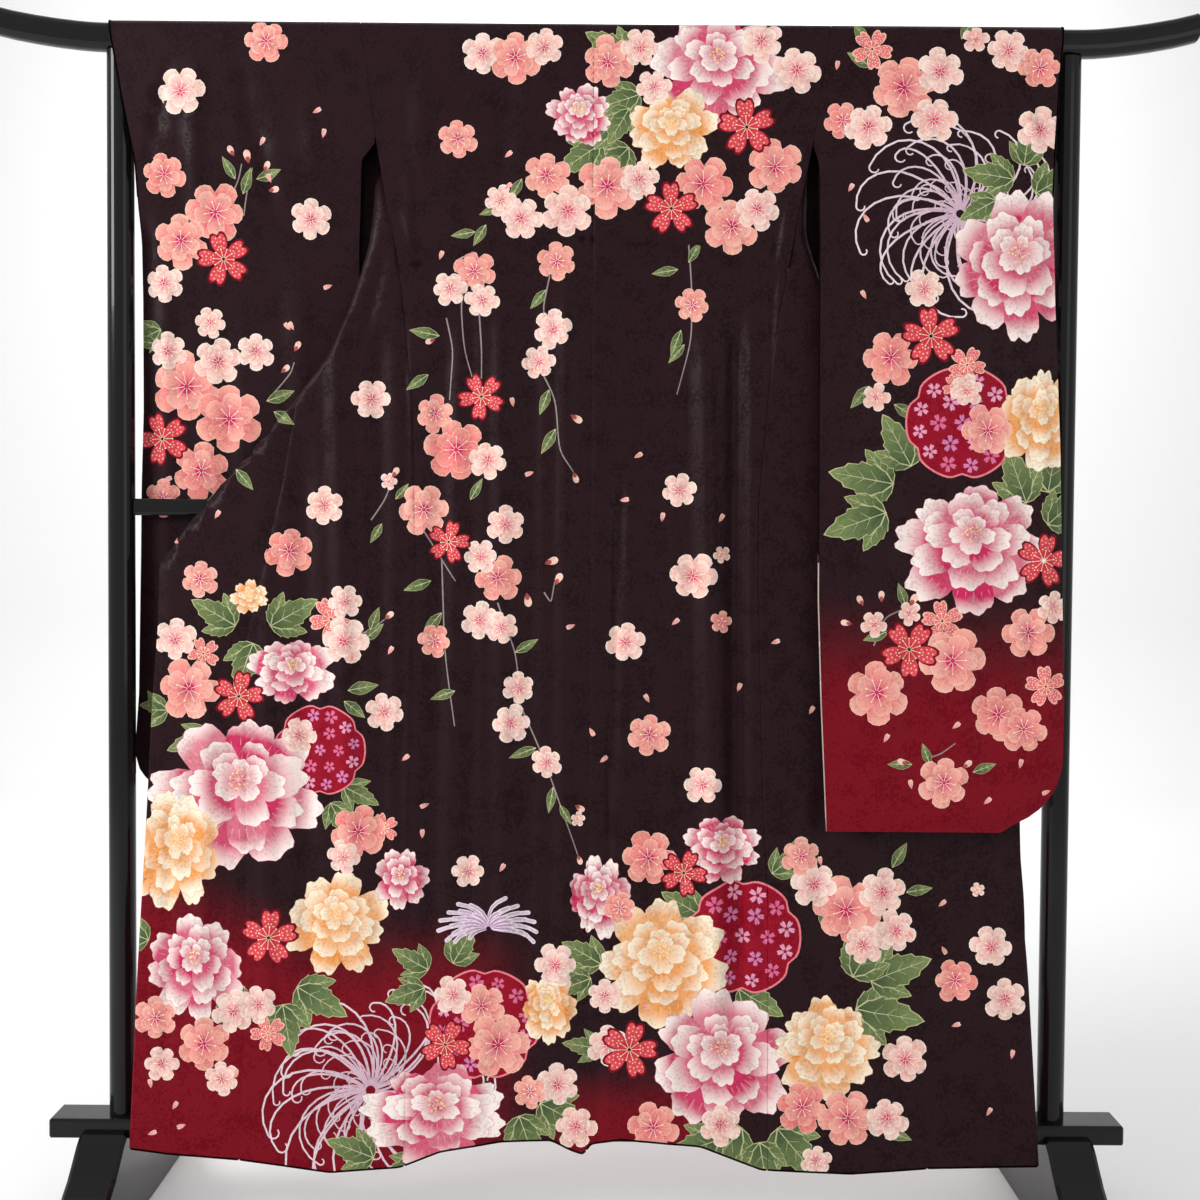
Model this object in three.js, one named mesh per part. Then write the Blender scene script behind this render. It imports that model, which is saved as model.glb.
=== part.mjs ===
// Long-sleeved silk robe, seen from its back, spread over a lacquered robe stand.
// Millimetres, +Z up, the viewer's side is -Y, the stand stands on Z = 0.
// The photograph fixed every length; see report.md for how.
import * as THREE from 'three';

// Cloth
const CLOTH = 2.0;
const SEAM = 0.4;
const NECK_HALF = 88;
const COLLAR_WIDTH = 55;
const COLLAR_END_Z = 950;
const OVERLAP_TIP_Z = 1480;
const CUFF_OPENING_Z = 1470;

// Stand
const RAIL_TOP_Z = 1715;
const RAIL_HEIGHT = 39;
const RAIL_DEPTH = 34;
const RAIL_HALF_LENGTH = 855;
const POST_X = 671;
const POST_RADIUS = 19;
const MID_RAIL_TOP_Z = 1044;
const MID_RAIL_HEIGHT = 24;
const MID_RAIL_DEPTH = 16;
const PLANK_TOP_Z = 157;
const PLANK_HEIGHT = 28;
const PLANK_DEPTH = 62;
const PLANK_HALF_LENGTH = 768;
const FOOT_X = 687;
const FOOT_WIDTH = 68;
const FOOT_HALF_LENGTH = 250;
const FIT_GAP = 0.3;

// Where the cloth turns over the top rail
const TURN_Z = RAIL_TOP_Z - RAIL_HEIGHT / 2;
const TURN_Y = 21.5;
const TURN_RISE = RAIL_TOP_Z + 0.8 + CLOTH / 2 - TURN_Z;

// Tables: height z against distance from the centre line, unsigned
const SIDE = {
  left: [[1717, 330], [1640, 318], [1544, 305], [1461, 291], [1411, 279], [1368, 272], [1323, 267],
    [1184, 252], [959, 247], [619, 253], [95, 257]],
  right: [[1717, 334], [1640, 322], [1544, 308], [1455, 290], [1383, 277], [1299, 261], [1216, 250],
    [1120, 243], [1047, 236], [906, 237], [623, 245], [481, 254], [95, 256]],
};
const FOLD = {
  left: [[1541, 305], [1493, 309], [1446, 310], [1400, 316], [1365, 326], [1323, 339], [1253, 367],
    [1205, 402], [1173, 426], [1080, 508], [1010, 566], [982, 587], [950, 609], [873, 609], [760, 617],
    [548, 627], [378, 636], [95, 647]],
  right: [[1541, 308.5], [1493, 303], [1446, 301], [1414, 302], [1344, 325], [1214, 408], [1080, 508],
    [982, 583], [950, 603], [873, 605], [595, 610], [343, 625], [95, 641]],
};
// Cloth from the side seam to the collar, and to the overlap seam
const FRONT_WIDTH = {
  left: [[1717, 242], [1640, 230], [1541, 217], [1480, 229], [1323, 270], [1205, 299], [1080, 330],
    [982, 354], [950, 362], [873, 362], [760, 367], [548, 374], [378, 381], [95, 390]],
  right: [[1717, 246], [1640, 234], [1541, 220], [1480, 229], [1323, 270], [1205, 299], [1080, 328],
    [982, 348], [950, 362], [873, 366], [595, 365], [343, 371], [95, 385]],
};
const OVERLAP_SEAM = {
  left: [[1480, 224], [1323, 190], [1204, 160], [1073, 184], [954, 212], [845, 237], [534, 231],
    [406, 228], [95, 233]],
  right: [[1480, 224], [1323, 190], [1204, 152], [1073, 184], [954, 208], [845, 213], [556, 213],
    [95, 226]],
};
// Height z against depth y of the visible layer and of the layer folded behind it
const FACE_Y = [[1717, -21.5], [1640, -22], [1500, -26], [1300, -29], [1032, -32], [600, -40],
  [200, -53], [95, -57]];
const BACK_FOLD_Y = [[1717, 21.5], [1600, 21], [1541, 17], [1460, 6], [1380, -7], [1320, -12],
  [1050, -15], [982, -19], [950, -25], [900, -29], [95, -50]];
// Hem: signed distance from the centre line against height
const HEM = [[-660, 127], [-589, 118], [-490, 111], [-363, 94], [-264, 102], [-207, 124], [-122, 139],
  [-51, 142], [-23, 128], [-2, 121], [2, 138], [48, 143], [161, 134], [247, 102], [374, 97], [487, 106],
  [660, 110]];
// Large soft folds: signed x, half width, push along y, and the heights it runs between
const FOLDS = [
  { x: -330, half: 26, push: -5, top: 1330, low: 420 },
  { x: -395, half: 30, push: 5, top: 1130, low: 330 },
  { x: -215, half: 26, push: 5, top: 1300, low: 330 },
  { x: -95, half: 42, push: -4, top: 1420, low: 220 },
  { x: -28, half: 24, push: 3, top: 1380, low: 250 },
  { x: 42, half: 18, push: 5, top: 900, low: 480 },
  { x: 150, half: 34, push: -6, top: 1280, low: 260 },
  { x: 205, half: 30, push: 9, top: 1300, low: 300 },
  { x: 330, half: 34, push: 5, top: 700, low: 200 },
  { x: 560, half: 40, push: -4, top: 560, low: 160 },
];
const SLEEVE = {
  left: {
    cuff: [[1717, 683], [1605, 663], [1515, 645], [1325, 643], [1169, 644], [1060, 648], [956, 650],
      [760, 655], [675, 662], [646, 654], [622, 630], [606, 590], [596, 560]],
    inner: [[1717, 330], [1640, 318], [1544, 305], [1520, 326], [1400, 332], [596, 330]],
    front: [[1717, -21.5], [1605, -22.5], [1525, -21.5], [1472, -10], [1400, -1], [1300, 4], [1044, 13],
      [800, 20], [596, 29]],
    rear: [[1717, 21.5], [1600, 22], [1400, 22], [1300, 22], [1044, 27], [800, 34], [596, 37]],
    bottom: 590,
  },
  right: {
    cuff: [[1717, 660], [1600, 650], [1543, 645], [1459, 639], [1327, 643], [1115, 653], [910, 658],
      [767, 662], [677, 661], [645, 652], [620, 633], [600, 606], [588, 575]],
    inner: [[1717, 334], [1640, 322], [1544, 308], [1520, 315], [1324, 316], [908, 318], [768, 323],
      [588, 332]],
    front: [[1717, -21.5], [1640, -25], [1543, -38], [1460, -50], [1400, -58], [1000, -65], [588, -71]],
    rear: [[1717, 21.5], [1640, 18], [1543, -6], [1460, -34], [1400, -45], [1000, -53], [588, -62]],
    bottom: 578,
  },
};

const clamp = (v, low, high) => Math.min(high, Math.max(low, v));
const mix = (a, b, k) => a + (b - a) * k;
// The seam's edges part a little where the seam crosses the turn of the fold
const seamHalf = (z) => SEAM / 2 + 2.2 * Math.exp(-(((z - 1195) / 60) ** 2));
const smooth = (k) => {
  const t = clamp(k, 0, 1);
  return t * t * (3 - 2 * t);
};

// Value of a table whose first column falls or rises steadily
function lookUp(table, at) {
  const falls = table[0][0] > table[table.length - 1][0];
  for (let i = 0; i < table.length - 1; i += 1) {
    const [a, va] = table[i];
    const [b, vb] = table[i + 1];
    const inside = falls ? at <= a && at >= b : at >= a && at <= b;
    if (inside) return mix(va, vb, (at - a) / (b - a));
  }
  const before = falls ? at > table[0][0] : at < table[0][0];
  return before ? table[0][1] : table[table.length - 1][1];
}

function foldPush(x, z) {
  let y = 0;
  for (const f of FOLDS) {
    const across = Math.abs(x - f.x) / f.half;
    if (across < 1 && z < f.top && z > f.low) {
      const ends = smooth((f.top - z) / 160) * smooth((z - f.low) / 160);
      y += f.push * (0.5 + 0.5 * Math.cos(Math.PI * across)) * ends;
    }
  }
  return y;
}

// Height of a row once the hem's own line is let in
function hemmed(x, z) {
  return z + (lookUp(HEM, x) - 95) * smooth((420 - z) / 325);
}

function makeMesh(name, positions, index, colour) {
  const geometry = new THREE.BufferGeometry();
  geometry.setAttribute('position', new THREE.Float32BufferAttribute(positions.flat(), 3));
  geometry.setIndex(index);
  geometry.computeVertexNormals();
  const mesh = new THREE.Mesh(geometry, new THREE.MeshStandardMaterial({ color: colour }));
  mesh.name = name;
  return mesh;
}

// A wall of even thickness on a grid of points; a cell is left out where keep says so
function clothWall(name, grid, colour, keep = () => true) {
  const rows = grid.length;
  const columns = grid[0].length;
  const at = (i, j) => new THREE.Vector3(...grid[clamp(i, 0, rows - 1)][clamp(j, 0, columns - 1)]);
  const kept = (i, j) => i >= 0 && j >= 0 && i < rows - 1 && j < columns - 1 && keep(i, j);
  const sides = [[], []];
  for (let i = 0; i < rows; i += 1) {
    for (let j = 0; j < columns; j += 1) {
      const used = [[i - 1, j - 1], [i - 1, j], [i, j - 1], [i, j]].filter(([a, b]) => kept(a, b));
      const is = used.map((c) => c[0]);
      const js = used.map((c) => c[1]);
      const up = used.length ? at(Math.min(...is), j) : at(i, j);
      const down = used.length ? at(Math.max(...is) + 1, j) : at(i, j);
      const left = used.length ? at(i, Math.min(...js)) : at(i, j);
      const right = used.length ? at(i, Math.max(...js) + 1) : at(i, j);
      const normal = right.sub(left).cross(up.sub(down)).normalize().multiplyScalar(CLOTH / 2);
      sides[0].push(at(i, j).add(normal).toArray());
      sides[1].push(at(i, j).sub(normal).toArray());
    }
  }
  const number = new Map();
  const positions = [];
  const point = (side, i, j) => {
    const key = `${side} ${i} ${j}`;
    if (!number.has(key)) {
      number.set(key, positions.length);
      positions.push(sides[side][i * columns + j]);
    }
    return number.get(key);
  };
  const index = [];
  const rim = (a, b) => {
    const [p, q] = [point(0, ...a), point(0, ...b)];
    const [r, s] = [point(1, ...a), point(1, ...b)];
    index.push(p, r, q, q, r, s);
  };
  for (let i = 0; i < rows - 1; i += 1) {
    for (let j = 0; j < columns - 1; j += 1) {
      if (kept(i, j)) {
        const corners = [[i, j], [i + 1, j], [i + 1, j + 1], [i, j + 1]];
        const [p, q, r, t] = corners.map((corner) => at(...corner));
        const turned = q.distanceTo(t) < p.distanceTo(r) ? [1, 2, 3, 0] : [0, 1, 2, 3];
        const [a, b, c, d] = turned.map((k) => point(0, ...corners[k]));
        const [e, f, g, h] = turned.map((k) => point(1, ...corners[k]));
        index.push(a, b, c, a, c, d, e, g, f, e, h, g);
        if (!kept(i, j - 1)) rim(corners[0], corners[1]);
        if (!kept(i + 1, j)) rim(corners[1], corners[2]);
        if (!kept(i, j + 1)) rim(corners[2], corners[3]);
        if (!kept(i - 1, j)) rim(corners[3], corners[0]);
      }
    }
  }
  return makeMesh(name, positions, index, colour);
}

// The front of the robe at one height: out from the side seam, round its fold and back
function frontPath(side, z) {
  const seam = lookUp(SIDE[side], z);
  const fold = z >= 1541 ? seam : lookUp(FOLD[side], z);
  const behind = lookUp(BACK_FOLD_Y, z);
  const faceHere = lookUp(FACE_Y, z);
  const face = mix(faceHere, behind, smooth((z - 1450) / 90));
  const reach = z >= 1541 ? 0 : Math.max(fold - seam, 0);
  const half = Math.abs(behind - face) / 2;
  const turn = Math.min(half, reach);
  const points = [[seam, face]];
  if (reach > turn) points.push([fold - turn, face]);
  for (let k = 1; k <= 12; k += 1) {
    const angle = -Math.PI / 2 + Math.PI * k / 12;
    points.push([fold - turn + turn * Math.cos(angle), (face + behind) / 2 + half * Math.sin(angle)]);
  }
  points.push([fold - turn - 520, behind]);
  return points;
}

// Even steps across the front, with one at the start, the middle and the end of the fold's turn
function steps(side, z, from, to, count) {
  const path = frontPath(side, z);
  const lengths = [];
  path.slice(1).forEach((p, i) => {
    lengths.push((lengths[i - 1] ?? 0) + Math.hypot(p[0] - path[i][0], p[1] - path[i][1]));
  });
  const out = [];
  for (let j = 0; j <= count; j += 1) out.push(mix(from, to, j / count));
  const marks = [path.length - 15, path.length - 9, path.length - 3].map((k) => (k < 0 ? 0 : lengths[k]));
  const taken = new Set();
  for (const mark of z < 1541 ? marks : []) {
    const j = Math.round(count * (mark - from) / (to - from));
    const pitch = Math.abs(to - from) / count;
    if (j > 0 && j < count && !taken.has(j) && Math.abs(mark - out[j - 1]) > pitch * 0.2) {
      taken.add(j);
      out[j] = mark;
    }
  }
  return out;
}

function along(path, distance) {
  let left = distance;
  for (let i = 0; i < path.length - 1; i += 1) {
    const step = Math.hypot(path[i + 1][0] - path[i][0], path[i + 1][1] - path[i][1]);
    if (left <= step) {
      const k = step > 0 ? left / step : 0;
      return [mix(path[i][0], path[i + 1][0], k), mix(path[i][1], path[i + 1][1], k)];
    }
    left -= step;
  }
  return path[path.length - 1];
}

// A point of the front, its overlap or its collar, by height and cloth from the side seam
function frontPoint(side, z, distance) {
  const sign = side === 'left' ? -1 : 1;
  const [x, y] = along(frontPath(side, z), distance);
  const low = hemmed(sign * x, z);
  return [sign * x, y + foldPush(sign * x, low), low];
}

// Depth and height of the cloth on its way over the rail
function overRail(degrees) {
  const [c, d] = [Math.cos(degrees * Math.PI / 180), Math.sin(degrees * Math.PI / 180)];
  return [-TURN_Y * Math.sign(c) * Math.abs(c) ** 0.72, TURN_Z + TURN_RISE * d ** 0.72];
}

// Rows of a body half: up the back, over the rail, down the front
const BACK_ROWS = [95, 130, 180, 240, 320, 410, 520, 640, 770, 900, 1020, 1120, 1210, 1290, 1370, 1450, 1541,
  1620, TURN_Z];
const TURN_ROWS = [18, 40, 64, 90, 116, 140, 162];
const FRONT_ROWS = [TURN_Z, 1650, 1600, 1565, 1541, 1515, 1495, 1480, 1455, 1430, 1400, 1365, 1330, 1295,
  1260, 1225, 1190, 1150, 1110, 1070, 1035, 1000, 975, 950, 915, 870, 800, 720, 640, 560, 480, 400, 330,
  270, 220, 175, 135, 95];
const NECK_COLUMNS = 2;
const SIDE_COLUMNS = 15;

function bodyHalf(side) {
  const sign = side === 'left' ? -1 : 1;
  const grid = [];
  const backRow = (z, place) => {
    const seam = lookUp(SIDE[side], z) - SEAM / 2;
    const neck = mix(NECK_HALF, seam * 0.3, smooth((TURN_Z - z) / 200));
    const row = [];
    for (let j = 0; j <= NECK_COLUMNS; j += 1) {
      row.push(place(mix(SEAM / 2, neck, j / NECK_COLUMNS)));
    }
    for (let j = 1; j <= SIDE_COLUMNS; j += 1) row.push(place(mix(neck, seam, j / SIDE_COLUMNS)));
    return row;
  };
  for (const z of BACK_ROWS) {
    grid.push(backRow(z, (x) => {
      const low = hemmed(sign * x, z);
      return [sign * x, lookUp(FACE_Y, z) + foldPush(sign * x, low), low];
    }));
  }
  for (const degrees of TURN_ROWS) {
    const [y, z] = overRail(degrees);
    grid.push(backRow(1717, (x) => [sign * x, y, z]));
  }
  const frontStart = grid.length;
  for (const z of FRONT_ROWS) {
    const width = lookUp(FRONT_WIDTH[side], z);
    const edge = z > OVERLAP_TIP_Z ? width : lookUp(OVERLAP_SEAM[side], z) - seamHalf(z);
    const row = [];
    for (let j = 0; j < NECK_COLUMNS; j += 1) {
      row.push([sign * mix(SEAM / 2, NECK_HALF, j / NECK_COLUMNS), lookUp(BACK_FOLD_Y, z), z]);
    }
    row.push(...steps(side, z, edge, SEAM, SIDE_COLUMNS).map((d) => frontPoint(side, z, d)));
    grid.push(row);
  }
  const rows = side === 'left' ? grid : grid.map((row) => [...row].reverse());
  const last = rows[0].length - 2;
  const across = (j) => (side === 'left' ? j : last - j);
  return clothWall(`body_${side}`, rows, 0x3a2a30, (i, j) => i < frontStart || across(j) >= NECK_COLUMNS);
}

function overlap(side) {
  const rows = FRONT_ROWS.filter((z) => z <= OVERLAP_TIP_Z);
  const grid = rows.map((z) => {
    const from = lookUp(OVERLAP_SEAM[side], z) + seamHalf(z);
    const to = lookUp(FRONT_WIDTH[side], z);
    return steps(side, z, to, from, 9).map((d) => frontPoint(side, z, d));
  });
  const turned = side === 'left' ? grid : grid.map((row) => [...row].reverse());
  return clothWall(`overlap_${side}`, turned, 0x5a2430);
}

// The collar hangs inside the neck and the front edges, at the rear
function collar() {
  const sideRows = FRONT_ROWS.filter((z) => z >= COLLAR_END_Z && z <= 1600);
  const low = TURN_Z - 6 - COLLAR_WIDTH;
  const rowAt = (side, z) => {
    const width = lookUp(FRONT_WIDTH[side], z);
    const clear = SEAM + 1.6 * smooth((1220 - z) / 60) + 4 * smooth((1060 - z) / 60);
    const row = [];
    for (let j = 0; j <= 3; j += 1) {
      row.push(frontPoint(side, z, width + mix(clear, COLLAR_WIDTH, j / 3)));
    }
    return row;
  };
  const neckAt = (outer, inner) => {
    const row = [];
    for (let j = 0; j <= 3; j += 1) {
      const z = mix(TURN_Z - SEAM - 2, low, j / 3);
      row.push([mix(outer, inner, j / 3), lookUp(BACK_FOLD_Y, z), z]);
    }
    return row;
  };
  const left = [...sideRows].reverse().map((z) => rowAt('left', z));
  const right = sideRows.map((z) => rowAt('right', z));
  const across = [[-86.5, -32], [-60, -22], [-30, -11], [0, 0], [30, 11], [60, 22], [86.5, 32]];
  const grid = [...left, ...across.map(([a, b]) => neckAt(a, b)), ...right];
  return clothWall('collar', grid, 0x5a2430);
}

// A sleeve is one length of cloth folded over the rail and sewn below the hand opening
function sleeve(side) {
  const s = SLEEVE[side];
  const sign = side === 'left' ? -1 : 1;
  const heights = [TURN_Z, 1650, 1600, 1565, 1544, 1520, 1490, 1455, 1420, 1380, 1320, 1250, 1170, 1090,
    1010, 930, 850, 770, 710, 670, 640, 618, s.bottom + 14];
  const columns = 9;
  const bodyY = { front: FACE_Y, rear: BACK_FOLD_Y };
  const layer = (which, z, j) => {
    const inner = lookUp(s.inner, z) + SEAM / 2;
    const outer = lookUp(s.cuff, z);
    const x = mix(inner, outer, j / columns);
    const joined = (1 - smooth((x - inner) / 150)) * smooth((z - 1500) / 50);
    return [sign * x, mix(lookUp(s[which], z), lookUp(bodyY[which], z), joined), z];
  };
  const grid = [];
  const take = (which, z) => {
    const row = [];
    for (let j = 0; j <= columns; j += 1) row.push(layer(which, z, j));
    return row;
  };
  // The hand opening's two edges part, and the sewn edge below it draws in to one line
  const drawn = (which, z) => {
    const row = take(which, z);
    const other = take(which === 'front' ? 'rear' : 'front', z);
    const shut = smooth((CUFF_OPENING_Z - z) / 60);
    const middle = (row[columns][1] + other[columns][1]) / 2;
    const towards = which === 'front' ? -1 : 1;
    row[columns][1] = mix(row[columns][1], middle + towards * 1.35, shut);
    return row;
  };
  const lowFront = drawn('front', heights[heights.length - 1]);
  const lowRear = drawn('rear', heights[heights.length - 1]);
  grid.push(lowFront.map((p, j) => [p[0], mix(p[1], lowRear[j][1], 0.5), s.bottom + 8]));
  for (const z of [...heights].reverse()) grid.push(drawn('front', z));
  for (const degrees of TURN_ROWS) {
    grid.push(take('front', 1717).map((p) => [p[0], ...overRail(degrees)]));
  }
  for (const z of heights) grid.push(drawn('rear', z));
  const ring = side === 'left' ? grid : grid.map((row) => [...row].reverse());
  return clothTube(`sleeve_${side}`, ring);
}

// A wall on rows that close on themselves: the last row runs on into the first
function clothTube(name, ring) {
  const rows = ring.length;
  const columns = ring[0].length;
  const at = (i, j) => new THREE.Vector3(...ring[(i + rows) % rows][clamp(j, 0, columns - 1)]);
  const positions = [];
  for (const side of [1, -1]) {
    for (let i = 0; i < rows; i += 1) {
      for (let j = 0; j < columns; j += 1) {
        const normal = at(i, j + 1).sub(at(i, j - 1)).cross(at(i + 1, j).sub(at(i - 1, j)));
        positions.push(at(i, j).add(normal.normalize().multiplyScalar(side * CLOTH / 2)).toArray());
      }
    }
  }
  const point = (side, i, j) => side * rows * columns + ((i + rows) % rows) * columns + j;
  const index = [];
  for (let i = 0; i < rows; i += 1) {
    for (let j = 0; j < columns - 1; j += 1) {
      const [a, b, c, d] = [point(0, i, j), point(0, i, j + 1), point(0, i + 1, j + 1), point(0, i + 1, j)];
      const [e, f, g, h] = [point(1, i, j), point(1, i, j + 1), point(1, i + 1, j + 1), point(1, i + 1, j)];
      index.push(a, b, c, a, c, d, e, g, f, e, h, g);
    }
    const [p, q, r, s] = [point(0, i, 0), point(0, i + 1, 0), point(1, i, 0), point(1, i + 1, 0)];
    index.push(p, q, r, q, s, r);
    const k = columns - 1;
    const [t, u, v, w] = [point(0, i, k), point(0, i + 1, k), point(1, i, k), point(1, i + 1, k)];
    index.push(t, v, u, u, v, w);
  }
  return makeMesh(name, positions, index, 0x3a2a30);
}

// A solid through rings of equal length, closed at both ends
function loft(name, rings, colour) {
  const count = rings[0].length;
  const positions = rings.flat();
  const index = [];
  for (let i = 0; i < rings.length - 1; i += 1) {
    for (let j = 0; j < count; j += 1) {
      const [a, b] = [i * count + j, i * count + (j + 1) % count];
      index.push(a, b, b + count, a, b + count, a + count);
    }
  }
  const flat = (ring) => {
    const [o, ...rest] = ring.map((p) => new THREE.Vector3(...p));
    const across = rest[0].clone().sub(o).normalize();
    const normal = new THREE.Vector3();
    rest.forEach((p, k) => {
      const next = rest[(k + 1) % rest.length];
      normal.add(p.clone().sub(o).cross(next.clone().sub(o)));
    });
    const other = normal.normalize().clone().cross(across);
    return [o, ...rest].map((p) => {
      const out = p.clone().sub(o);
      return new THREE.Vector2(out.dot(across), out.dot(other));
    });
  };
  const first = THREE.ShapeUtils.triangulateShape(flat(rings[0]), []);
  const lastRing = rings[rings.length - 1];
  const last = THREE.ShapeUtils.triangulateShape(flat(lastRing), []);
  const shift = (rings.length - 1) * count;
  for (const [a, b, c] of first) index.push(a, c, b);
  for (const [a, b, c] of last) index.push(a + shift, b + shift, c + shift);
  return makeMesh(name, positions, index, colour);
}

// Outline of a rounded bar in Y and Z, seen from +X
function roundedBar(x, middle, depth, height, radius) {
  const ring = [];
  const corners = [[1, -1, -90], [1, 1, 0], [-1, 1, 90], [-1, -1, 180]];
  for (const [sy, sz, from] of corners) {
    for (let k = 0; k <= 4; k += 1) {
      const angle = (from + 90 * k / 4) * Math.PI / 180;
      ring.push([
        x,
        sy * (depth / 2 - radius) + radius * Math.cos(angle),
        middle + sz * (height / 2 - radius) + radius * Math.sin(angle),
      ]);
    }
  }
  return ring;
}

function bar(name, stations, depth, height, radius) {
  const rings = stations.map(([x, middle, inset]) => (
    roundedBar(x, middle, depth - 2 * inset, height - 2 * inset, radius - inset * 0.7)));
  return loft(name, rings, 0x0c0b0c);
}

function topRail() {
  const rise = [[0, 0], [690, 0], [710, 0.8], [730, 2.5], [760, 6], [787, 10], [820, 16], [843, 21.5],
    [852, 24], [RAIL_HALF_LENGTH, 24.8]];
  const inset = (x) => (x === RAIL_HALF_LENGTH ? 3 : 0);
  const right = rise.map(([x, up]) => [x, TURN_Z + up, inset(x)]);
  const left = right.slice(1).reverse().map(([x, z, cut]) => [-x, z, cut]);
  return bar('stand_top_rail', [...left, ...right], RAIL_DEPTH, RAIL_HEIGHT, 14);
}

function post(side) {
  const sign = side === 'left' ? -1 : 1;
  const rings = [PLANK_TOP_Z + FIT_GAP, RAIL_TOP_Z - RAIL_HEIGHT - FIT_GAP].map((z) => {
    const ring = [];
    for (let k = 0; k < 28; k += 1) {
      const angle = 2 * Math.PI * k / 28;
      ring.push([sign * POST_X + POST_RADIUS * Math.cos(angle), POST_RADIUS * Math.sin(angle), z]);
    }
    return ring;
  });
  return loft(`stand_post_${side}`, rings, 0x0c0b0c);
}

function midRail() {
  const end = POST_X - POST_RADIUS - FIT_GAP;
  const middle = MID_RAIL_TOP_Z - MID_RAIL_HEIGHT / 2;
  return bar('stand_mid_rail', [[-end, middle, 0], [end, middle, 0]], MID_RAIL_DEPTH, MID_RAIL_HEIGHT, 5);
}

function plank() {
  const middle = PLANK_TOP_Z - PLANK_HEIGHT / 2;
  const end = PLANK_HALF_LENGTH;
  const stations = [[-end, middle, 2], [2 - end, middle, 0], [end - 2, middle, 0], [end, middle, 2]];
  return bar('stand_plank', stations, PLANK_DEPTH, PLANK_HEIGHT, 4);
}

// A foot runs from front to rear, with a housing that the plank drops into
function foot(side) {
  const sign = side === 'left' ? -1 : 1;
  const top = [[FOOT_HALF_LENGTH, 34], [225, 42], [192, 52], [155, 65], [118, 80], [90, 98], [70, 116],
    [54, 131], [42, 139], [PLANK_DEPTH / 2 + FIT_GAP, 142]];
  const housing = PLANK_TOP_Z - PLANK_HEIGHT - FIT_GAP;
  const profile = [];
  profile.push([-FOOT_HALF_LENGTH, 0], [FOOT_HALF_LENGTH, 0]);
  for (const [y, z] of top) profile.push([y, z]);
  profile.push([PLANK_DEPTH / 2 + FIT_GAP, housing], [-PLANK_DEPTH / 2 - FIT_GAP, housing]);
  for (const [y, z] of [...top].reverse()) profile.push([-y, z]);
  const half = FOOT_WIDTH / 2;
  const stays = (z) => z === 0 || Math.abs(z - housing) < 0.01;
  const ring = (x, lower) => profile.map(([y, z]) => [x, y, stays(z) ? z : z - lower]);
  const rings = [ring(sign * FOOT_X - half, 5), ring(sign * FOOT_X - half + 5, 0),
    ring(sign * FOOT_X + half - 5, 0), ring(sign * FOOT_X + half, 5)];
  return loft(`stand_foot_${side}`, rings, 0x0c0b0c);
}

const robe = new THREE.Group();
robe.add(bodyHalf('left'), bodyHalf('right'));
robe.add(overlap('left'), overlap('right'));
robe.add(sleeve('left'), sleeve('right'));
robe.add(collar());
robe.add(topRail(), midRail(), plank());
for (const side of ['left', 'right']) robe.add(post(side), foot(side));

export default robe;
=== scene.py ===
import math
import random

import bmesh
import bpy
import numpy as np
from mathutils import Matrix, Vector
from mathutils.geometry import delaunay_2d_cdt


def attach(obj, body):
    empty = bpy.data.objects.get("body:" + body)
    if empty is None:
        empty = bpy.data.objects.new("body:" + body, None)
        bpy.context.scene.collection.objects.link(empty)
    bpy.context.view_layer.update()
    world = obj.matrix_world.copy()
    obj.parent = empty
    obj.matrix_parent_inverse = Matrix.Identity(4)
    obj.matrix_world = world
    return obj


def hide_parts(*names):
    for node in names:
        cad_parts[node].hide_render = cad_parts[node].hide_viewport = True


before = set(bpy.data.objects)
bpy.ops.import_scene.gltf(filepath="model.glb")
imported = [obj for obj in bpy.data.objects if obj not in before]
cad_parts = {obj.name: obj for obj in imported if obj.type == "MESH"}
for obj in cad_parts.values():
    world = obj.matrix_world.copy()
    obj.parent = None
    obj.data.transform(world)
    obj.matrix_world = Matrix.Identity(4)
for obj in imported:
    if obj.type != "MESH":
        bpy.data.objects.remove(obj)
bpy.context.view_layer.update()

# Camera at the height of the robe's middle, a little above it, straight in front of the
# robe's back. The frame is square, 1200 wide, and the lens gives 1536 pixels of focal length.
camera_data = bpy.data.cameras.new("camera")
camera_data.sensor_width = 36.0
camera_data.lens = 36.0 * 1536 / 1200
camera = bpy.data.objects.new("camera", camera_data)
bpy.context.scene.collection.objects.link(camera)
camera.location = (0.014, -2.2, 0.974)
camera.rotation_euler = (
    Matrix.Rotation(math.radians(90 - 1.83), 3, "X") @ Matrix.Rotation(math.radians(0.42), 3, "Z")
).to_euler()
bpy.context.scene.camera = camera
bpy.context.scene.view_settings.view_transform = "Standard"

# A plain pale room: a floor that curves up into a wall, a large soft light from the left that
# grazes the folds, a weaker one from the right, one on the wall, and an even pale world.
floor_mesh = bpy.data.meshes.new("floor")
bm = bmesh.new()
sweep = [(-6.0, 0.0), (3.8, 0.0)]
for k in range(1, 13):
    turn = math.radians(90 * k / 12)
    sweep.append((3.8 + 0.7 * math.sin(turn), 0.7 - 0.7 * math.cos(turn)))
sweep.append((4.5, 6.0))
rows = [[bm.verts.new((x, y, z - 0.001)) for x in (-7.0, 7.0)] for y, z in sweep]
for low, high in zip(rows, rows[1:]):
    bm.faces.new((low[0], low[1], high[1], high[0])).smooth = True
bm.to_mesh(floor_mesh)
bm.free()
floor = bpy.data.objects.new("floor", floor_mesh)
bpy.context.scene.collection.objects.link(floor)
floor_material = bpy.data.materials.new("floor_paint")
floor_material.use_nodes = True
floor_shader = floor_material.node_tree.nodes["Principled BSDF"]
floor_shader.inputs["Base Color"].default_value = (0.86, 0.86, 0.86, 1.0)
floor_shader.inputs["Roughness"].default_value = 0.9
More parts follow.
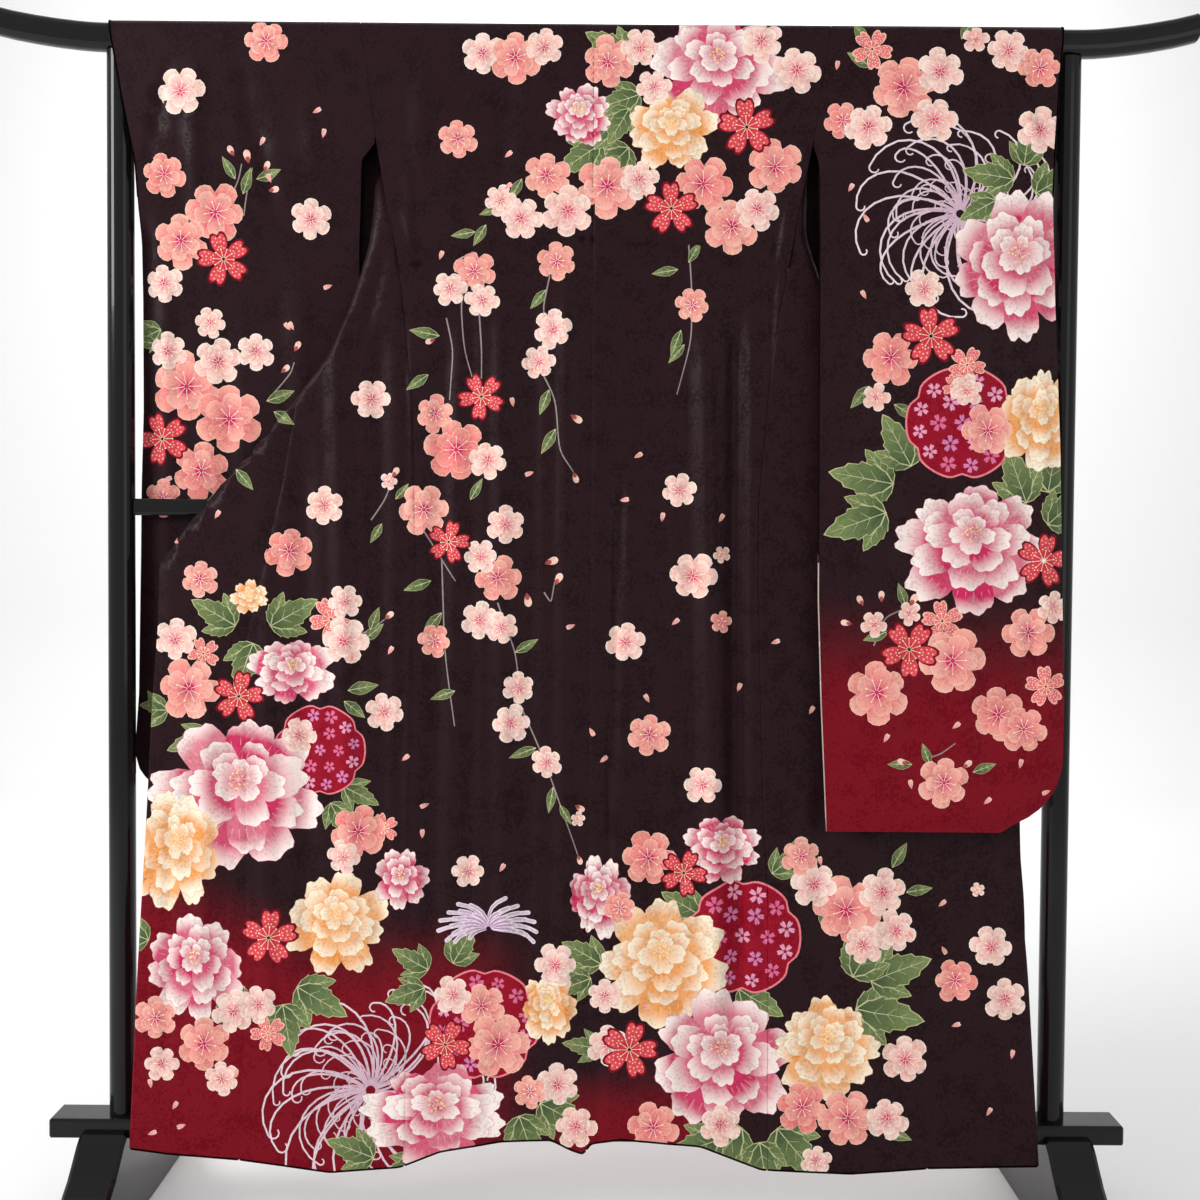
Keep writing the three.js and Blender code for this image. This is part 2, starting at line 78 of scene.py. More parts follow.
floor_mesh.materials.append(floor_material)

for name, place, aim, width, power in (
    ("key", (-3.1, -1.9, 2.5), (0.1, 0.0, 0.95), 1.5, 105.0),
    ("fill", (2.4, -2.8, 1.5), (0.0, 0.0, 0.9), 2.2, 16.0),
    ("wall", (0.0, 2.7, 3.6), (0.0, 4.5, 0.9), 2.4, 85.0),
):
    lamp = bpy.data.lights.new(name, "AREA")
    lamp.size = width
    lamp.energy = power
    lamp_object = bpy.data.objects.new(name, lamp)
    lamp_object.location = place
    lamp_object.rotation_euler = (Vector(aim) - Vector(place)).to_track_quat("-Z", "Y").to_euler()
    bpy.context.scene.collection.objects.link(lamp_object)
world = bpy.data.worlds.new("room")
world.use_nodes = True
world.node_tree.nodes["Background"].inputs["Color"].default_value = (1.0, 1.0, 1.0, 1.0)
world.node_tree.nodes["Background"].inputs["Strength"].default_value = 0.62
bpy.context.scene.world = world

# How the cloth hangs. All lengths here are millimetres. Each table gives, by height, a
# distance from the centre line, a depth or a length of cloth; soft() rounds its corners.
def soft(table, width=30.0):
    table = sorted(table)
    places = np.arange(table[0][0] - 3 * width, table[-1][0] + 3 * width, 2.0)
    values = np.interp(places, [row[0] for row in table], [row[1] for row in table])
    window = np.hanning(max(3, int(width)))
    window /= window.sum()
    edge = len(window)
    padded = np.concatenate([np.full(edge, values[0]), values, np.full(edge, values[-1])])
    values = np.convolve(padded, window, "same")[edge:-edge]
    return lambda at: np.interp(at, places, values)


def step(value):
    value = np.clip(value, 0.0, 1.0)
    return value * value * (3 - 2 * value)


# The cloth's thickness, the middle of its turn over the rail, and how seams are drawn
CLOTH = 1.1
TURN_Z, TURN_Y, TURN_RISE = 1695.5, 21.5, 21.3
SEAM_WIDTH, PASSES_BEHIND = 2.6, 1.7
# From the centre line to the side seam
SIDE = {
    "left": soft([(1717, 330), (1640, 318), (1544, 305), (1461, 291), (1411, 279), (1368, 272),
                  (1323, 267), (1184, 252), (959, 247), (619, 253), (95, 257)]),
    "right": soft([(1717, 334), (1640, 322), (1544, 308), (1455, 290), (1383, 277), (1299, 261),
                   (1216, 250), (1120, 243), (1047, 236), (906, 237), (623, 245), (481, 254), (95, 256)]),
}
# From the centre line to the diagonal fold where a front turns back on itself
FOLD = {
    "left": soft([(1541, 305), (1493, 309), (1446, 310), (1400, 316), (1365, 326), (1323, 339),
                  (1253, 367), (1205, 402), (1173, 426), (1080, 508), (1010, 566), (982, 587),
                  (950, 609), (873, 609), (760, 617), (548, 627), (378, 636), (95, 647)], 16),
    "right": soft([(1541, 308.5), (1493, 303), (1446, 301), (1414, 302), (1344, 325), (1214, 408),
                   (1080, 508), (982, 583), (950, 603), (873, 605), (595, 610), (343, 625), (95, 641)], 16),
}
# Along the cloth from the side seam to the front's free edge, and to the overlap's seam
FRONT_WIDTH = {
    "left": soft([(1717, 242), (1640, 230), (1541, 217), (1480, 229), (1323, 270), (1205, 299),
                  (1080, 330), (982, 354), (950, 362), (873, 362), (760, 367), (548, 374), (378, 381),
                  (95, 390)], 16),
    "right": soft([(1717, 246), (1640, 234), (1541, 220), (1480, 229), (1323, 270), (1205, 299),
                   (1080, 328), (982, 348), (950, 362), (873, 366), (595, 365), (343, 371), (95, 385)], 16),
}
OVERLAP_SEAM = {
    "left": soft([(1480, 224), (1323, 190), (1204, 160), (1073, 184), (954, 212), (845, 237),
                  (534, 231), (406, 228), (95, 233)]),
    "right": soft([(1480, 224), (1323, 190), (1204, 152), (1073, 184), (954, 208), (845, 213),
                   (556, 213), (95, 226)]),
}
# Where the overlap ends, how deep the back and the layers behind it hang, and the hem's height
OVERLAP_TIP = 1480
FACE_Y = soft([(1717, -21.5), (1640, -22), (1500, -26), (1300, -29), (1032, -32), (600, -40),
               (200, -53), (95, -57)])
BEHIND_Y = soft([(1717, 21.5), (1600, 21), (1541, 17), (1460, 6), (1380, -7), (1320, -12), (1050, -15),
                 (982, -19), (950, -25), (900, -29), (95, -50)], 12)
HEM = soft([(-660, 127), (-589, 118), (-490, 111), (-363, 94), (-264, 102), (-207, 124), (-122, 139),
            (-51, 142), (-23, 128), (-2, 121), (2, 136), (48, 143), (161, 134), (247, 102), (374, 97),
            (487, 106), (660, 110)], 10)
# Each soft fold runs from a top place to a low one: half width, and push away from the viewer
FOLDS = [  # x at the top, z at the top, x at the bottom, z at the bottom, half width, push
    (-362, 1330, -335, 430, 24, -4.5), (-408, 1150, -392, 330, 26, 4.5), (-300, 1330, -292, 300, 22, 3.0),
    (-208, 1330, -222, 330, 24, 4.5), (-127, 1350, -120, 330, 22, -3.6), (-82, 1380, -86, 260, 20, 2.6),
    (-36, 1390, -34, 220, 20, -3.4), (-170, 1380, -164, 400, 16, 1.8),
    (43, 1120, 26, 480, 12, 4.2), (92, 1380, 98, 240, 26, 1.6), (158, 1330, 184, 260, 24, -6.5),
    (203, 1350, 212, 300, 22, 9.0), (128, 1330, 150, 560, 12, 1.5), (330, 700, 334, 190, 30, 4.0),
    (400, 640, 408, 180, 26, -3.0), (560, 590, 566, 150, 30, -3.4), (520, 590, 516, 160, 20, 2.2),
    (-576, 900, -486, 800, 16, 3.6), (-560, 960, -520, 880, 12, -2.4), (-455, 1010, -452, 240, 18, -2.6),
    (-540, 840, -548, 190, 22, -2.8), (-505, 780, -512, 200, 16, 2.2), (-590, 640, -596, 190, 14, 2.2),
    (-318, 1440, -420, 1190, 10, 2.0), (-285, 1420, -330, 1230, 12, 2.2), (-262, 1330, -268, 500, 9, 1.6),
    (262, 1500, 246, 1180, 10, 2.2), (282, 1540, 262, 1330, 10, -2.0), (-268, 1540, -250, 1360, 12, -2.0),
    (-60, 360, -60, 110, 26, -3.0), (20, 330, 14, 110, 18, 3.0), (110, 380, 118, 110, 26, -3.2),
    (-150, 330, -158, 110, 22, -2.6), (240, 330, 250, 110, 20, 2.8),
    (-240, 1690, -246, 1470, 22, -1.6), (-120, 1690, -130, 1430, 26, 1.6), (30, 1690, 24, 1440, 24, -1.6),
    (150, 1690, 160, 1430, 24, 1.8), (240, 1690, 236, 1420, 20, -1.6),
]
SLEEVE_FOLDS = [
    (-590, 1690, -632, 1480, 16, 3.2), (-560, 1690, -560, 1380, 20, -2.8), (-500, 1690, -440, 1400, 20, 2.8),
    (-430, 1690, -380, 1450, 16, -2.0), (-610, 1400, -606, 760, 16, -2.4), (-520, 1330, -530, 700, 26, 2.4),
    (-420, 1400, -410, 760, 26, -2.2), (-470, 1200, -474, 640, 18, 1.6),
    (372, 1680, 350, 1440, 18, 2.6), (430, 1680, 420, 1380, 22, -2.4), (520, 1680, 540, 1400, 20, 2.4),
    (600, 1680, 622, 1480, 16, -2.6), (360, 1380, 362, 700, 20, -2.0), (440, 1350, 446, 650, 28, 2.2),
    (530, 1330, 526, 640, 26, -2.2), (610, 1380, 616, 700, 20, 2.0),
]
TUCK = soft([(-340, 1362), (-274, 1370), (-199, 1382), (-128, 1409), (-1, 1412), (151, 1405), (178, 1386),
             (231, 1376), (340, 1369)], 14)


# How far the folds push each point back: each fades out over its last 110 mm
FOLD_DEPTH, RIPPLE = 1.45, 0.35


def push(folds, x, z):
    out = np.zeros_like(x)
    for top_x, top_z, low_x, low_z, half, deep in folds:
        down = np.clip((top_z - z) / (top_z - low_z), 0, 1)
        across = np.abs(x - (top_x + (low_x - top_x) * down)) / half
        ends = step((top_z - z) / 110) * step((z - low_z) / 110)
        out += FOLD_DEPTH * deep * (0.5 + 0.5 * np.cos(np.pi * np.minimum(across, 1))) * ends
    ripple = np.sin(x / 23.0 + np.sin(z / 210.0) * 2) * np.sin(z / 150.0 + x / 90.0)
    return out + RIPPLE * ripple


# The way over the rail, from the front face to the rear one, by the length run along it
turn_angles = np.radians(np.linspace(0, 180, 241))
turn_y = -TURN_Y * np.sign(np.cos(turn_angles)) * np.abs(np.cos(turn_angles)) ** 0.72
turn_z = TURN_Z + TURN_RISE * np.sin(turn_angles) ** 0.72
turn_run = np.concatenate([[0], np.cumsum(np.hypot(np.diff(turn_y), np.diff(turn_z)))])
TURN_LENGTH = float(turn_run[-1])


# A narrow groove along a sewn line, a distance away from it
def groove(away, width=SEAM_WIDTH):
    return np.exp(-((away / width) ** 2))


# Up the back and over the rail: x is signed, v is the height until the turn begins
def back_place(x, v, side):
    z = np.minimum(v, TURN_Z)
    run = np.clip(v - TURN_Z, 0, TURN_LENGTH)
    over = v > TURN_Z
    tuck = TUCK(x)
    lip = -3.2 * step((z - tuck + 0.2) / 1.2) * (1 - step((z - tuck - 8) / 60))
    lip = lip + 1.8 * groove(z - tuck + 2.5, 3.0)
    y = FACE_Y(z) + push(FOLDS, x, z) * step((TURN_Z - 5 - z) / 60) + lip
    # The seam down the middle: a narrow groove, the left half's edge passing behind the right
    y = y + groove(x) + PASSES_BEHIND * step((x + 0.4) / 0.8) * (side == "left")
    y = np.where(over, np.interp(run, turn_run, turn_y), y)
    z = np.where(over, np.interp(run, turn_run, turn_z), z)
    return np.stack([x, y, z], axis=1)


# Out from the side seam, round the diagonal fold and back: |x| counts on from the seam
def front_place(x, z, side, under=False):
    seam, behind = SIDE[side](z), BEHIND_Y(z)
    along = np.abs(x) - seam
    face = FACE_Y(z) + (behind - FACE_Y(z)) * step((z - 1450) / 90)
    reach = np.where(z >= 1541, 0.0, np.maximum(FOLD[side](z) - seam, 0))
    half = np.abs(behind - face) / 2
    turn = np.minimum(half, reach)
    arc = np.pi * np.sqrt((turn ** 2 + half ** 2) / 2)
    share = np.clip((along - (reach - turn)) / np.maximum(arc, 1e-6), 0, 1)
    angle = -np.pi / 2 + np.pi * share
    middle = seam + reach - turn
    out = np.where(along < reach - turn, seam + along, middle + turn * np.cos(angle))
    out = np.where(share >= 1, middle - (along - (reach - turn) - arc), out)
    y = (face + behind) / 2 + half * np.sin(angle)
    y = np.where(along < reach - turn, face, np.where(share >= 1, behind, y))
    signed = out * (-1 if side == "left" else 1)
    y = y + push(FOLDS, signed, z) * step((1600 - z) / 150)
    # Grooves along the side seam and the overlap's seam, and the edges that pass behind them
    joint = OVERLAP_SEAM[side](z)
    y = y + 0.9 * groove(along) + PASSES_BEHIND * (1 - step((along + 1.2) / 0.8))
    sewn = step((OVERLAP_TIP - z) / 30) * np.where(share < 1, 1, -1)
    y = y + sewn * 0.9 * groove(along - joint)
    if under:
        y = y + sewn * PASSES_BEHIND * step((along - joint - 0.4) / 0.8)
    return np.stack([signed, y, z], axis=1)


# Sleeves, by height: out to the cuff and in to the armhole side, and how deep both faces hang
SLEEVES = {
    "left": {
        "cuff": soft([(1717, 683), (1605, 663), (1515, 645), (1325, 643), (1169, 644), (1060, 648),
                      (956, 650), (760, 655), (675, 662), (646, 654), (622, 630), (606, 590), (596, 560)], 8),
        "inner": soft([(1717, 330), (1640, 318), (1544, 305), (1520, 326), (1400, 332), (596, 330)], 10),
        "front": soft([(1717, -21.5), (1605, -22.5), (1525, -21.5), (1472, -10), (1400, -1), (1300, 4),
                       (1044, 13), (800, 20), (596, 29)]),
        "rear": soft([(1717, 21.5), (1600, 22), (1400, 22), (1300, 22), (1044, 27), (800, 34), (596, 37)]),
        "bottom": 597.0,
    },
    "right": {
        "cuff": soft([(1717, 660), (1600, 650), (1543, 645), (1459, 639), (1327, 643), (1115, 653),
                      (910, 658), (767, 662), (677, 661), (645, 652), (620, 633), (600, 606), (588, 575)], 8),
        "inner": soft([(1717, 334), (1640, 322), (1544, 308), (1520, 315), (1324, 316), (908, 318),
                       (768, 323), (588, 332)], 10),
        "front": soft([(1717, -21.5), (1640, -25), (1543, -38), (1460, -50), (1400, -58), (1000, -65),
                       (588, -71)]),
        "rear": soft([(1717, 21.5), (1640, 18), (1543, -6), (1460, -34), (1400, -45), (1000, -53),
                      (588, -62)]),
        "bottom": 585.0,
    },
}
CUFF_OPENING = 1470


# One length folded over the rail: v is the height in front, and runs on over and down behind
def sleeve_place(x, v, side):
    shape = SLEEVES[side]
    rear = v > TURN_Z + TURN_LENGTH / 2
    z = np.where(rear, np.minimum(2 * TURN_Z + TURN_LENGTH - v, TURN_Z), np.minimum(v, TURN_Z))
    over = (v > TURN_Z) & (v < TURN_Z + TURN_LENGTH)
    size = np.abs(x)
    inner, outer = shape["inner"](z), shape["cuff"](z)
    joined = (1 - step((size - inner) / 150)) * step((z - 1500) / 50)
    front = shape["front"](z) + (FACE_Y(z) - shape["front"](z)) * joined
    back = shape["rear"](z) + (BEHIND_Y(z) - shape["rear"](z)) * joined
    middle = (front + back) / 2
    shut_side = (1 - step((outer - size) / 26)) * step((CUFF_OPENING - z) / 70)
    shut_low = 1 - step((z - shape["bottom"]) / 24)
    shut = np.maximum(shut_side, shut_low)
    y = np.where(rear, back, front)
    y = y + (middle + np.where(rear, 0.75, -0.75) - y) * shut
    wave = push(SLEEVE_FOLDS, x, z) * (1 - joined) * step((TURN_Z - z) / 60)
    y = y + wave * np.where(rear, 0.7, 1.0)
    run = np.clip(v - TURN_Z, 0, TURN_LENGTH)
    y = np.where(over, np.interp(run, turn_run, turn_y), y)
    z = np.where(over, np.interp(run, turn_run, turn_z), z)
    return np.stack([x, y, z], axis=1)


# The printed pattern, drawn as flat shapes in the plane of the robe's back. Each shape is a
# polygon with two colours, blended outward from a point; later shapes cover earlier ones.
# Dyed silk gives back four fifths of the light that white paper would.
def shade(*rgb):
    value = np.array(rgb, dtype=float) / 255
    return 0.8 * np.where(value <= 0.04045, value / 12.92, ((value + 0.055) / 1.055) ** 2.4)


def blend(a, b, k):
    return a + (b - a) * k


DARK = shade(33, 12, 17)
CRIMSON = shade(122, 0, 22)
# Deep colour at a petal's foot, its body, its outline
KINDS = {
    "salmon": (shade(216, 52, 96), shade(246, 142, 130), shade(255, 212, 190)),
    "pale": (shade(226, 78, 108), shade(252, 212, 192), shade(255, 243, 230)),
    "rose": (shade(206, 34, 92), shade(255, 243, 236), shade(220, 124, 150)),
    "cream": (shade(241, 156, 78), shade(255, 243, 218), shade(228, 172, 116)),
}
shapes = []


# The blend begins at the share start of the reach and is full at the reach
def add(points, inner, outer=None, centre=None, reach=1.0, power=1.0, start=0.0):
    points = np.asarray(points, dtype=float)
    centre = points.mean(axis=0) if centre is None else np.asarray(centre, dtype=float)
    shapes.append((points, inner, inner if outer is None else outer, centre, reach, power, start))


def ahead_of(angle):
    return np.array([math.cos(angle), math.sin(angle)])


# A petal from its foot at the centre, its rim notched at the tip and ruffled or scalloped
def petal(centre, length, turn, half_angle, notch=0.0, ruffle=0.0, waves=5, count=9, phase=0.0,
          scalloped=False, round_off=0.42):
    angles = np.linspace(-1, 1, count)
    reach = np.cos(angles * np.pi / 2 * 0.93) ** round_off
    reach = reach * (1 - notch * np.exp(-(angles / 0.2) ** 2))
    if scalloped:
        reach = reach * (1 - ruffle + 2 * ruffle * np.abs(np.cos(waves * np.pi / 2 * angles + phase)))
    else:
        reach = reach * (1 + ruffle * np.cos(waves * np.pi * angles + phase))
    spread = turn + angles * half_angle
    rim = np.stack([np.cos(spread) * reach, np.sin(spread) * reach], axis=1) * length
    foot = np.array([[math.cos(turn) * 0.04, math.sin(turn) * 0.04]]) * length
    return np.concatenate([foot, rim]) + np.asarray(centre)


# A band along a run of points, that narrows to a share of its width
def strip(points, width, taper=0.35):
    points = np.asarray(points, dtype=float)
    run = np.gradient(points, axis=0)
    side = np.stack([-run[:, 1], run[:, 0]], axis=1)
    side /= np.maximum(np.linalg.norm(side, axis=1, keepdims=True), 1e-9)
    widths = width / 2 * np.linspace(1, taper, len(points))[:, None]
    return np.concatenate([points + side * widths, (points - side * widths)[::-1]])


def dot(centre, radius, colour, sides=6):
    angles = np.arange(sides) * 2 * np.pi / sides
    add(np.asarray(centre) + radius * np.stack([np.cos(angles), np.sin(angles)], axis=1), colour)


def blossom(x, z, radius, kind, seed):
    rng = random.Random(seed)
    deep, body, edge = KINDS[kind]
    body = blend(body, edge, rng.uniform(0.0, 0.4))
    turn = rng.uniform(0, math.tau)
    centre = np.array([x, z])
    rings = ((1.0, 6, 0.74), (0.74, 5, 0.82)) if radius > 20 else ((1.0, 5, 0.8),)
    for level, (share, count, half) in enumerate(rings):
        for k in range(count):
            at = turn + level * 0.5 + k * math.tau / count + rng.uniform(-0.07, 0.07)
            size = radius * share * rng.uniform(0.97, 1.1)
            inner = petal(centre, size - 0.7, at, half * (1 - 0.7 / size), 0.07, 0.02, 4, round_off=0.6)
            foot, foot_ends = (deep, 0.05) if level else (blend(deep, body, 0.55), 0.6)
            add(petal(centre, size, at, half, 0.07, 0.02, 4, round_off=0.6), edge)
            add(inner, foot, blend(body, edge, rng.uniform(0.1, 0.6)), centre, size * 0.95, 0.8, foot_ends)
            if radius > 24:
                for lean in (-0.28, 0.0, 0.28):
                    span = np.array([[0.42], [0.86 - abs(lean) * 0.4]]) * size
                    add(strip(centre + ahead_of(at + lean) * span, 0.45, 0.5), blend(body, edge, 0.6))
    add(petal(centre, radius * 0.22, turn, 3.05, 0, 0, 5, 9), deep * 0.9)
    stamens = 8 if radius > 20 else 5
    for k in range(stamens):
        ray = ahead_of(turn + k * math.tau / stamens + rng.uniform(-0.1, 0.1))
        far = radius * rng.uniform(0.3, 0.42)
        add(strip(centre + ray * np.array([[radius * 0.06], [far]]), 0.8, 0.8), KINDS["pale"][2])
        dot(centre + ray * far, 1.3, shade(255, 240, 190), 5)


def star(x, z, radius, seed, small=False):
    rng = random.Random(seed)
    turn = rng.uniform(0, math.tau)
    centre = np.array([x, z])
    line, body = shade(120, 4, 24), shade(232, 84, 92)
    foot, spots = shade(196, 30, 52), shade(255, 196, 176)
    if small:
        line, body = shade(250, 190, 170), shade(236, 120, 120)
        foot, spots = body, shade(255, 232, 214)
    for k in range(5):
        at = turn + k * math.tau / 5
        add(petal(centre, radius * 1.03, at, 0.66, 0.2, 0, 4, 11, round_off=0.6), line)
    for k in range(5):
        at = turn + k * math.tau / 5
        inner = petal(centre, radius * 0.94, at, 0.6, 0.22, 0, 4, 11, round_off=0.6)
        add(inner, foot, body, centre, radius * 0.8, 0.8)
        for lean in (-0.3, -0.1, 0.1, 0.3):
            for far in (0.46, 0.62, 0.76):
                spot = centre + radius * (far - abs(lean) * 0.3) * ahead_of(at + lean)
                dot(spot, radius * 0.032, spots, 4)
    for k in range(10):
        ray = ahead_of(turn + k * math.tau / 10)
        add(strip(centre + ray * radius * np.array([[0.05], [0.34]]), 0.9, 0.9), shade(255, 222, 190))
        dot(centre + ray * radius * 0.34, 1.2, shade(255, 236, 200))


# A full flower seen a little from below: rings of scalloped petals, each deep at its foot
def peony(x, z, wide, high, kind, seed):
    rng = random.Random(seed)
    deep, body, edge = KINDS[kind]
    turn = rng.uniform(0, math.tau)
    scale = np.array([wide, high])
    size_mm = (wide + high) / 2
    small = size_mm < 45
    rings = ((1.0, 8, 0.54, 0.82), (0.78, 7, 0.58, 0.76), (0.56, 6, 0.66, 0.66), (0.34, 5, 0.8, 0.3))
    for level, (share, count, half, start) in enumerate(rings[1:] if small else rings):
        share = share * (1.25 if small else 1.0)
        foot = np.array([0.0, 0.07 * level])
        for k in rng.sample(range(count), count):
            at = turn + level * 0.4 + k * math.tau / count + rng.uniform(-0.13, 0.13)
            size = share * rng.uniform(0.88, 1.08) * (1.0 - 0.1 * level * max(0.0, math.sin(at)))
            wave, spread = rng.uniform(0, 3), half * rng.uniform(0.86, 1.14)
            line = 0.6 / (size * size_mm)
            outer = petal(foot, size, at, spread, 0.05, 0.045, 4, 17, wave, True) * scale + (x, z)
            inner = petal(foot, size * (1 - line), at, spread * (1 - line), 0.05, 0.045, 4, 17, wave, True)
            place = foot * scale + (x, z)
            tint = blend(deep, body, rng.uniform(0.0, 0.22))
            foot_ends = start * rng.uniform(0.8, 1.04)
            add(outer, edge)
            add(inner * scale + (x, z), tint, body, place, size * size_mm * 0.95, 0.75, foot_ends)
            for lean in (-0.4, 0.0, 0.4) if small else (-0.6, -0.3, 0.0, 0.3, 0.6):
                span = np.array([[start * 0.8], [0.9 - 0.2 * abs(lean) - rng.uniform(0, 0.12)]]) * size
                vein = (foot + ahead_of(at + lean * spread) * span) * scale + (x, z)
                add(strip(vein, 0.8 + size_mm * 0.005, 0.2), blend(tint, body, 0.3))
    heart = np.array([x, z + high * (0.12 if small else 0.2)])
    stamens = 7 if small else 16
    for k in range(stamens):
        at = k * math.tau / stamens + rng.uniform(-0.2, 0.2)
        far = rng.uniform(0.05, 0.15)
        tip = heart + (wide * far * math.cos(at), high * far * math.sin(at))
        add(strip(np.array([heart, tip]), 0.9, 0.8), blend(deep, KINDS["cream"][1], 0.5))
        dot(tip, 1.5, shade(255, 226, 150), 5)


# A red badge with a notched edge, sown with tiny flowers in two rings round a middle one
def roundel(x, z, radius, seed):
    rng = random.Random(seed)
    centre = np.array([x, z])
    angles = np.linspace(0, math.tau, 72, endpoint=False)
    reach = 1 - 0.09 * np.exp(-(((angles * 6 / math.tau) % 1 - 0.5) / 0.13) ** 2)
    rim = np.stack([np.cos(angles), np.sin(angles)], axis=1) * reach[:, None]
    add(centre + rim * radius, shade(240, 130, 140))
    add(centre + rim * radius * 0.965, shade(150, 4, 34))
    spots = [(0, 0)] + [(0.42, k * math.tau / 6) for k in range(6)]
    spots += [(0.76, k * math.tau / 12 + 0.2) for k in range(12)]
    for far, at in spots:
        spot = centre + radius * far * ahead_of(at)
        size = radius * rng.uniform(0.13, 0.17)
        turn = rng.uniform(0, math.tau)
        colour = rng.choice((shade(214, 130, 178), shade(232, 160, 190), shade(222, 110, 150)))
        for k in range(5):
            add(petal(spot, size, turn + k * math.tau / 5, 0.5, 0.2, 0, 4, 7), colour)
        dot(spot, size * 0.2, shade(150, 4, 34))


# Long thin petals that all lean one way and hook back at their tips
def thread_flower(x, z, radius, seed):
    rng = random.Random(seed)
    centre = np.array([x, z])
    for ring, (count, far) in enumerate(((19, 1.0), (17, 0.8), (14, 0.6), (12, 0.42), (9, 0.24))):
        for k in range(count):
            at = k * math.tau / count + ring * 0.37 + rng.uniform(-0.12, 0.12)
            long = far * rng.uniform(0.72, 1.08)
            run = np.linspace(0, 1, 12)
            sway = rng.uniform(0.45, 1.15)
            lean = at + sway * run ** 1.4
            reach = 0.04 + (long - 0.04) * np.sin(run * math.pi / 2 * 1.06)
            line = np.stack([np.cos(lean), np.sin(lean)], axis=1) * reach[:, None] * radius
            hook = rng.uniform(0.05, 0.1) * radius
            ahead = ahead_of(at + sway)
            across = np.array([-ahead[1], ahead[0]])
            turn = np.linspace(0.4, 3.4, 6)[:, None]
            curl = line[-1] + hook * (across * np.sin(turn) * 0.5 - ahead * (1 - np.cos(turn)) * 0.5)
            thread = strip(centre + np.concatenate([line, curl]), 3.4 - 0.3 * ring, 0.6)
            add(thread, shade(206, 172, 190), shade(240, 222, 226), centre, radius)


# Half a flower seen from the side: rows of long petals that curl outward, with round tips
def fan(x, z, radius, seed):
    rng = random.Random(seed)
    for ring, far in enumerate((1.0, 0.78, 0.55)):
        for k in range(11):
            at = math.radians(-8 + k * 196 / 10 + ring * 8)
            run = np.linspace(0.1, 1, 6)[:, None]
            bend = at + 0.5 * (run - 0.2) ** 2 * (1 if math.cos(at) < 0 else -1)
            line = np.concatenate([np.cos(bend) * 1.15, np.sin(bend) * 0.7], axis=1) * run * radius * far
            line = line * rng.uniform(0.9, 1.06) + (x, z)
            add(strip(line, 3.4, 1.8), shade(240, 230, 238))
            dot(line[-1], 3.1, shade(240, 230, 238), 8)
            add(strip(line, 2.0, 1.9), shade(170, 124, 166), shade(226, 200, 218), (x, z), radius)
            dot(line[-1], 2.1, shade(222, 194, 214), 8)


# A leaf from its foot, with a pale rim, a midrib and side veins; a long one has lobes
def leaf(x, z, length, degrees, share):
    ahead = ahead_of(math.radians(degrees))
    across = np.array([-ahead[1], ahead[0]]) * length * share / 2
    run = np.array([0, 0.14, 0.2, 0.34, 0.38, 0.54, 0.58, 0.74, 0.78, 0.9, 1.0])
    wide = np.array([0, 0.62, 0.7, 1.0, 0.86, 1.0, 0.78, 0.72, 0.48, 0.3, 0.0])
    if length < 45:
        wide = np.array([0, 0.5, 0.66, 0.94, 0.98, 0.9, 0.86, 0.6, 0.5, 0.24, 0.0])
    foot = np.array([x, z])
    left = foot + ahead * length * run[:, None] + across * wide[:, None]
    right = foot + ahead * length * run[1:-1, None] - across * wide[1:-1, None]
    rim = np.concatenate([left, right[::-1]])
    middle = rim.mean(axis=0)
    add(middle + (rim - middle) * 1.03, shade(190, 192, 140))
    add(middle + (rim - middle) * 0.97, shade(50, 76, 48), shade(128, 144, 90), foot, length, 0.8)
    add(strip(foot + ahead * length * np.array([[0.0], [0.5], [0.9]]), 1.3, 0.4), shade(206, 204, 158))
    for part in (0.25, 0.45, 0.65) if length > 45 else (0.3, 0.55):
        for way in (-1, 1):
            vein = np.array([foot + ahead * length * part,
                             foot + ahead * length * (part + 0.13) + way * across * 0.62 * (1.15 - part)])
            add(strip(vein, 0.8, 0.5), shade(190, 190, 142))


# A peony's leaf: a large middle blade with a smaller one at either side
def tuft(x, z, length, degrees, share):
    leaf(x, z, length * 0.78, degrees + 40, share)
    leaf(x, z, length * 0.78, degrees - 40, share)
    leaf(x, z, length * 1.15, degrees, share)


def stem(*run):
    points = np.array(run, dtype=float).reshape(-1, 2)
    spans = np.linspace(0, len(points) - 1, 5 * len(points))
    line = np.stack([np.interp(spans, np.arange(len(points)), points[:, k]) for k in (0, 1)], axis=1)
    for _ in range(3):
        line[1:-1] = (line[:-2] + line[1:-1] * 2 + line[2:]) / 4
    add(strip(line, 2.2, 0.7), shade(150, 138, 134))


def bud(x, z, length, degrees):
    tip = petal((x, z), length * 1.5, math.radians(degrees), 0.5)
    cup = petal((x, z), length * 0.8, math.radians(degrees), 0.6)
    add(tip, shade(244, 170, 160), shade(250, 206, 190), (x, z), length)
    add(cup, shade(150, 60, 62), shade(190, 100, 90), (x, z), length)


def loose_petal(x, z, degrees):
    at = math.radians(degrees)
    add(petal((x, z), 15, at, 0.42, 0.12), shade(255, 214, 196))
    add(petal((x, z), 14, at, 0.36, 0.12), shade(238, 130, 130), shade(250, 190, 178), (x, z), 14)


